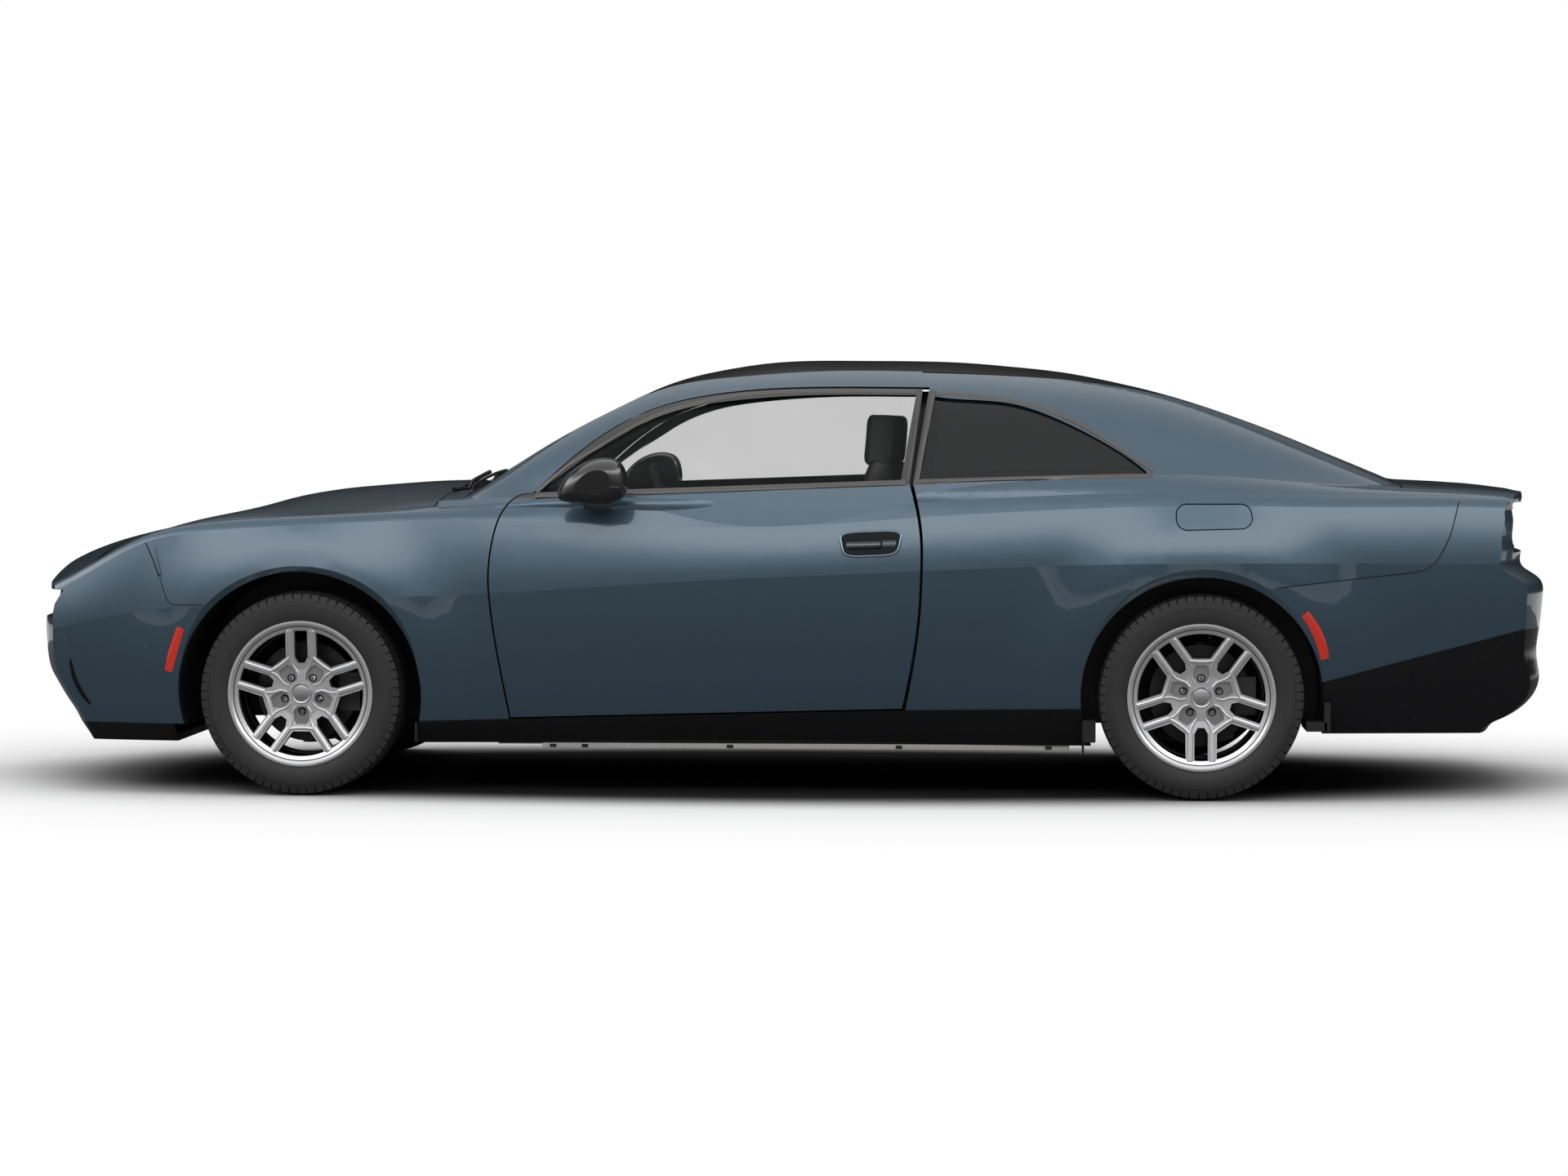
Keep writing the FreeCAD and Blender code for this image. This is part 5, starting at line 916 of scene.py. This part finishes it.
def studio_floor():
    """A pale disc with a painted shadow under the car, that fades out around it and is clear from below."""
    mesh = bpy.data.meshes.new("floor")
    shape = bmesh.new()
    bmesh.ops.create_circle(shape, cap_ends=True, radius=FLOOR_REACH, segments=96)
    shape.to_mesh(mesh)
    shape.free()
    floor = bpy.data.objects.new("floor", mesh)
    floor.location.z = -FLOOR_DROP
    bpy.context.scene.collection.objects.link(floor)
    material = bpy.data.materials.new("floor")
    material.use_nodes = True
    tree = material.node_tree
    shader = tree.nodes["Principled BSDF"]
    shader.inputs["Roughness"].default_value = 0.7
    # The painted shadow: the floor's colour is darker inside an oval under the car.
    painted_shadow = ramp(tree, oval_distance(tree, PAINTED_SHADOW_HALF), 0.0, 1.0, *PAINTED_SHADOW_EDGE, smooth=True)
    tree.links.new(blend(tree, painted_shadow, PAINTED_SHADOW_TONE, FLOOR_TONE), shader.inputs["Base Color"])
    fade = ramp(tree, oval_distance(tree, FADE_HALF), 0.0, 1.0, *FADE_EDGE, smooth=True)
    seen = tree.nodes.new("ShaderNodeLightPath").outputs["Is Camera Ray"]
    white = tree.nodes.new("ShaderNodeEmission")
    white.inputs["Color"].default_value = WHITE
    shown = reckon(tree, "MULTIPLY", fade, seen)
    faded = either(tree, shown, shader.outputs["BSDF"], white.outputs["Emission"])
    below = tree.nodes.new("ShaderNodeNewGeometry").outputs["Backfacing"]
    clear = tree.nodes.new("ShaderNodeBsdfTransparent")
    surface = either(tree, below, faded, clear.outputs["BSDF"])
    tree.links.new(surface, tree.nodes["Material Output"].inputs["Surface"])
    mesh.materials.append(material)


def only_reflected(name, shape, material):
    """Stage a studio surface that nothing but a reflection can see."""
    mesh = bpy.data.meshes.new(name)
    shape.to_mesh(mesh)
    shape.free()
    mesh.materials.append(material)
    card = bpy.data.objects.new(name, mesh)
    bpy.context.scene.collection.objects.link(card)
    card.visible_camera = False
    card.visible_diffuse = False
    card.visible_shadow = False
    card.visible_transmission = False


CARD_RADIUS = 8.0
CARD_HEIGHT = 0.002


def floor_card():
    """The dark disc on the floor, which darkens the lower side of the paint."""
    shape = bmesh.new()
    bmesh.ops.create_circle(shape, cap_ends=True, radius=CARD_RADIUS, segments=64)
    bmesh.ops.translate(shape, vec=(0, 0, CARD_HEIGHT), verts=shape.verts)
    cloth = finish("floor card", (0.050, 0.050, 0.050, 1), (0.055, 0.055, 0.055, 1), 0.9, scale=3)
    only_reflected("floor card", shape, cloth)


WALL_RADIUS = 16.0
WALL_HEIGHT = 16.0
# Brightness of the wall by the share of its height.
WALL_TONES = ((0.0, 0.10), (0.16, 0.30), (0.34, 0.75), (0.50, 2.6), (0.62, 3.2), (0.78, 1.6), (1.0, 1.0))
FAR_SIDE = 9.0
FAR_SHARE = 0.06


def studio_wall():
    """A round wall, dark near the ground and softly lit above, and dimmer on the far side."""
    shape = bmesh.new()
    bmesh.ops.create_cone(shape, cap_ends=False, segments=64, radius1=WALL_RADIUS, radius2=WALL_RADIUS,
                          depth=WALL_HEIGHT)
    bmesh.ops.translate(shape, vec=(0, 0, WALL_HEIGHT / 2), verts=shape.verts)
    material = bpy.data.materials.new("studio wall")
    material.use_nodes = True
    tree = material.node_tree
    tree.nodes.remove(tree.nodes["Principled BSDF"])
    across, up = axes(tree, "Object")[1:]
    brightness = tree.nodes.new("ShaderNodeFloatCurve")
    curve = brightness.mapping.curves[0]
    brightest = max(tone for share, tone in WALL_TONES)
    for point, (share, tone) in zip(curve.points, (WALL_TONES[0], WALL_TONES[-1])):
        point.location = (share, tone / brightest)
    for share, tone in WALL_TONES[1:-1]:
        curve.points.new(share, tone / brightest)
    brightness.mapping.update()
    tree.links.new(reckon(tree, "DIVIDE", up, WALL_HEIGHT), brightness.inputs["Value"])
    beyond = ramp(tree, across, 1.0, FAR_SHARE, 0.0, FAR_SIDE, smooth=True)
    dimmed = reckon(tree, "MULTIPLY", brightness.outputs["Value"], beyond)
    glow = tree.nodes.new("ShaderNodeEmission")
    glow.inputs["Color"].default_value = WHITE
    tree.links.new(reckon(tree, "MULTIPLY", dimmed, brightest), glow.inputs["Strength"])
    tree.links.new(glow.outputs["Emission"], tree.nodes["Material Output"].inputs["Surface"])
    only_reflected("studio wall", shape, material)


SKY_TONES = (0.14, 0.85)
SKY_CLIMB = (-0.05, 0.55)


def backdrop():
    """White to the camera, through glass and in gloss; for light, a sky that is brighter overhead."""
    world = bpy.data.worlds.new("studio")
    bpy.context.scene.world = world
    world.use_nodes = True
    tree = world.node_tree
    sky = tree.nodes["Background"]
    sky.inputs["Color"].default_value = WHITE
    climb = ramp(tree, axes(tree, "Generated")[2], *SKY_TONES, *SKY_CLIMB, smooth=True)
    tree.links.new(climb, sky.inputs["Strength"])
    white = tree.nodes.new("ShaderNodeBackground")
    white.inputs["Color"].default_value = WHITE
    seen = tree.nodes.new("ShaderNodeLightPath").outputs
    shown = reckon(tree, "MAXIMUM", seen["Is Camera Ray"], seen["Is Glossy Ray"])
    shown = reckon(tree, "MAXIMUM", shown, seen["Is Transmission Ray"])
    surface = either(tree, shown, sky.outputs["Background"], white.outputs["Background"])
    tree.links.new(surface, tree.nodes["World Output"].inputs["Surface"])


def soft_lamp(name, place, aim, size, power):
    """A large rectangular lamp."""
    light = bpy.data.lights.new(name, "AREA")
    light.shape = "RECTANGLE"
    light.size, light.size_y = size
    light.energy = power
    lamp = bpy.data.objects.new(name, light)
    lamp.location = place
    lamp.visible_glossy = False
    lamp.rotation_euler = (Vector(aim) - Vector(place)).to_track_quat("-Z", "Y").to_euler()
    bpy.context.scene.collection.objects.link(lamp)


studio_floor()
backdrop()
floor_card()
studio_wall()
soft_lamp("overhead", (0.0, -0.5, 6.5), (0, 0, 0), (9, 4.5), 260)
soft_lamp("side", (-1.5, -8.5, 5.0), (0, 0, 0.8), (9, 2.5), 200)
bpy.context.scene.view_settings.view_transform = "Standard"
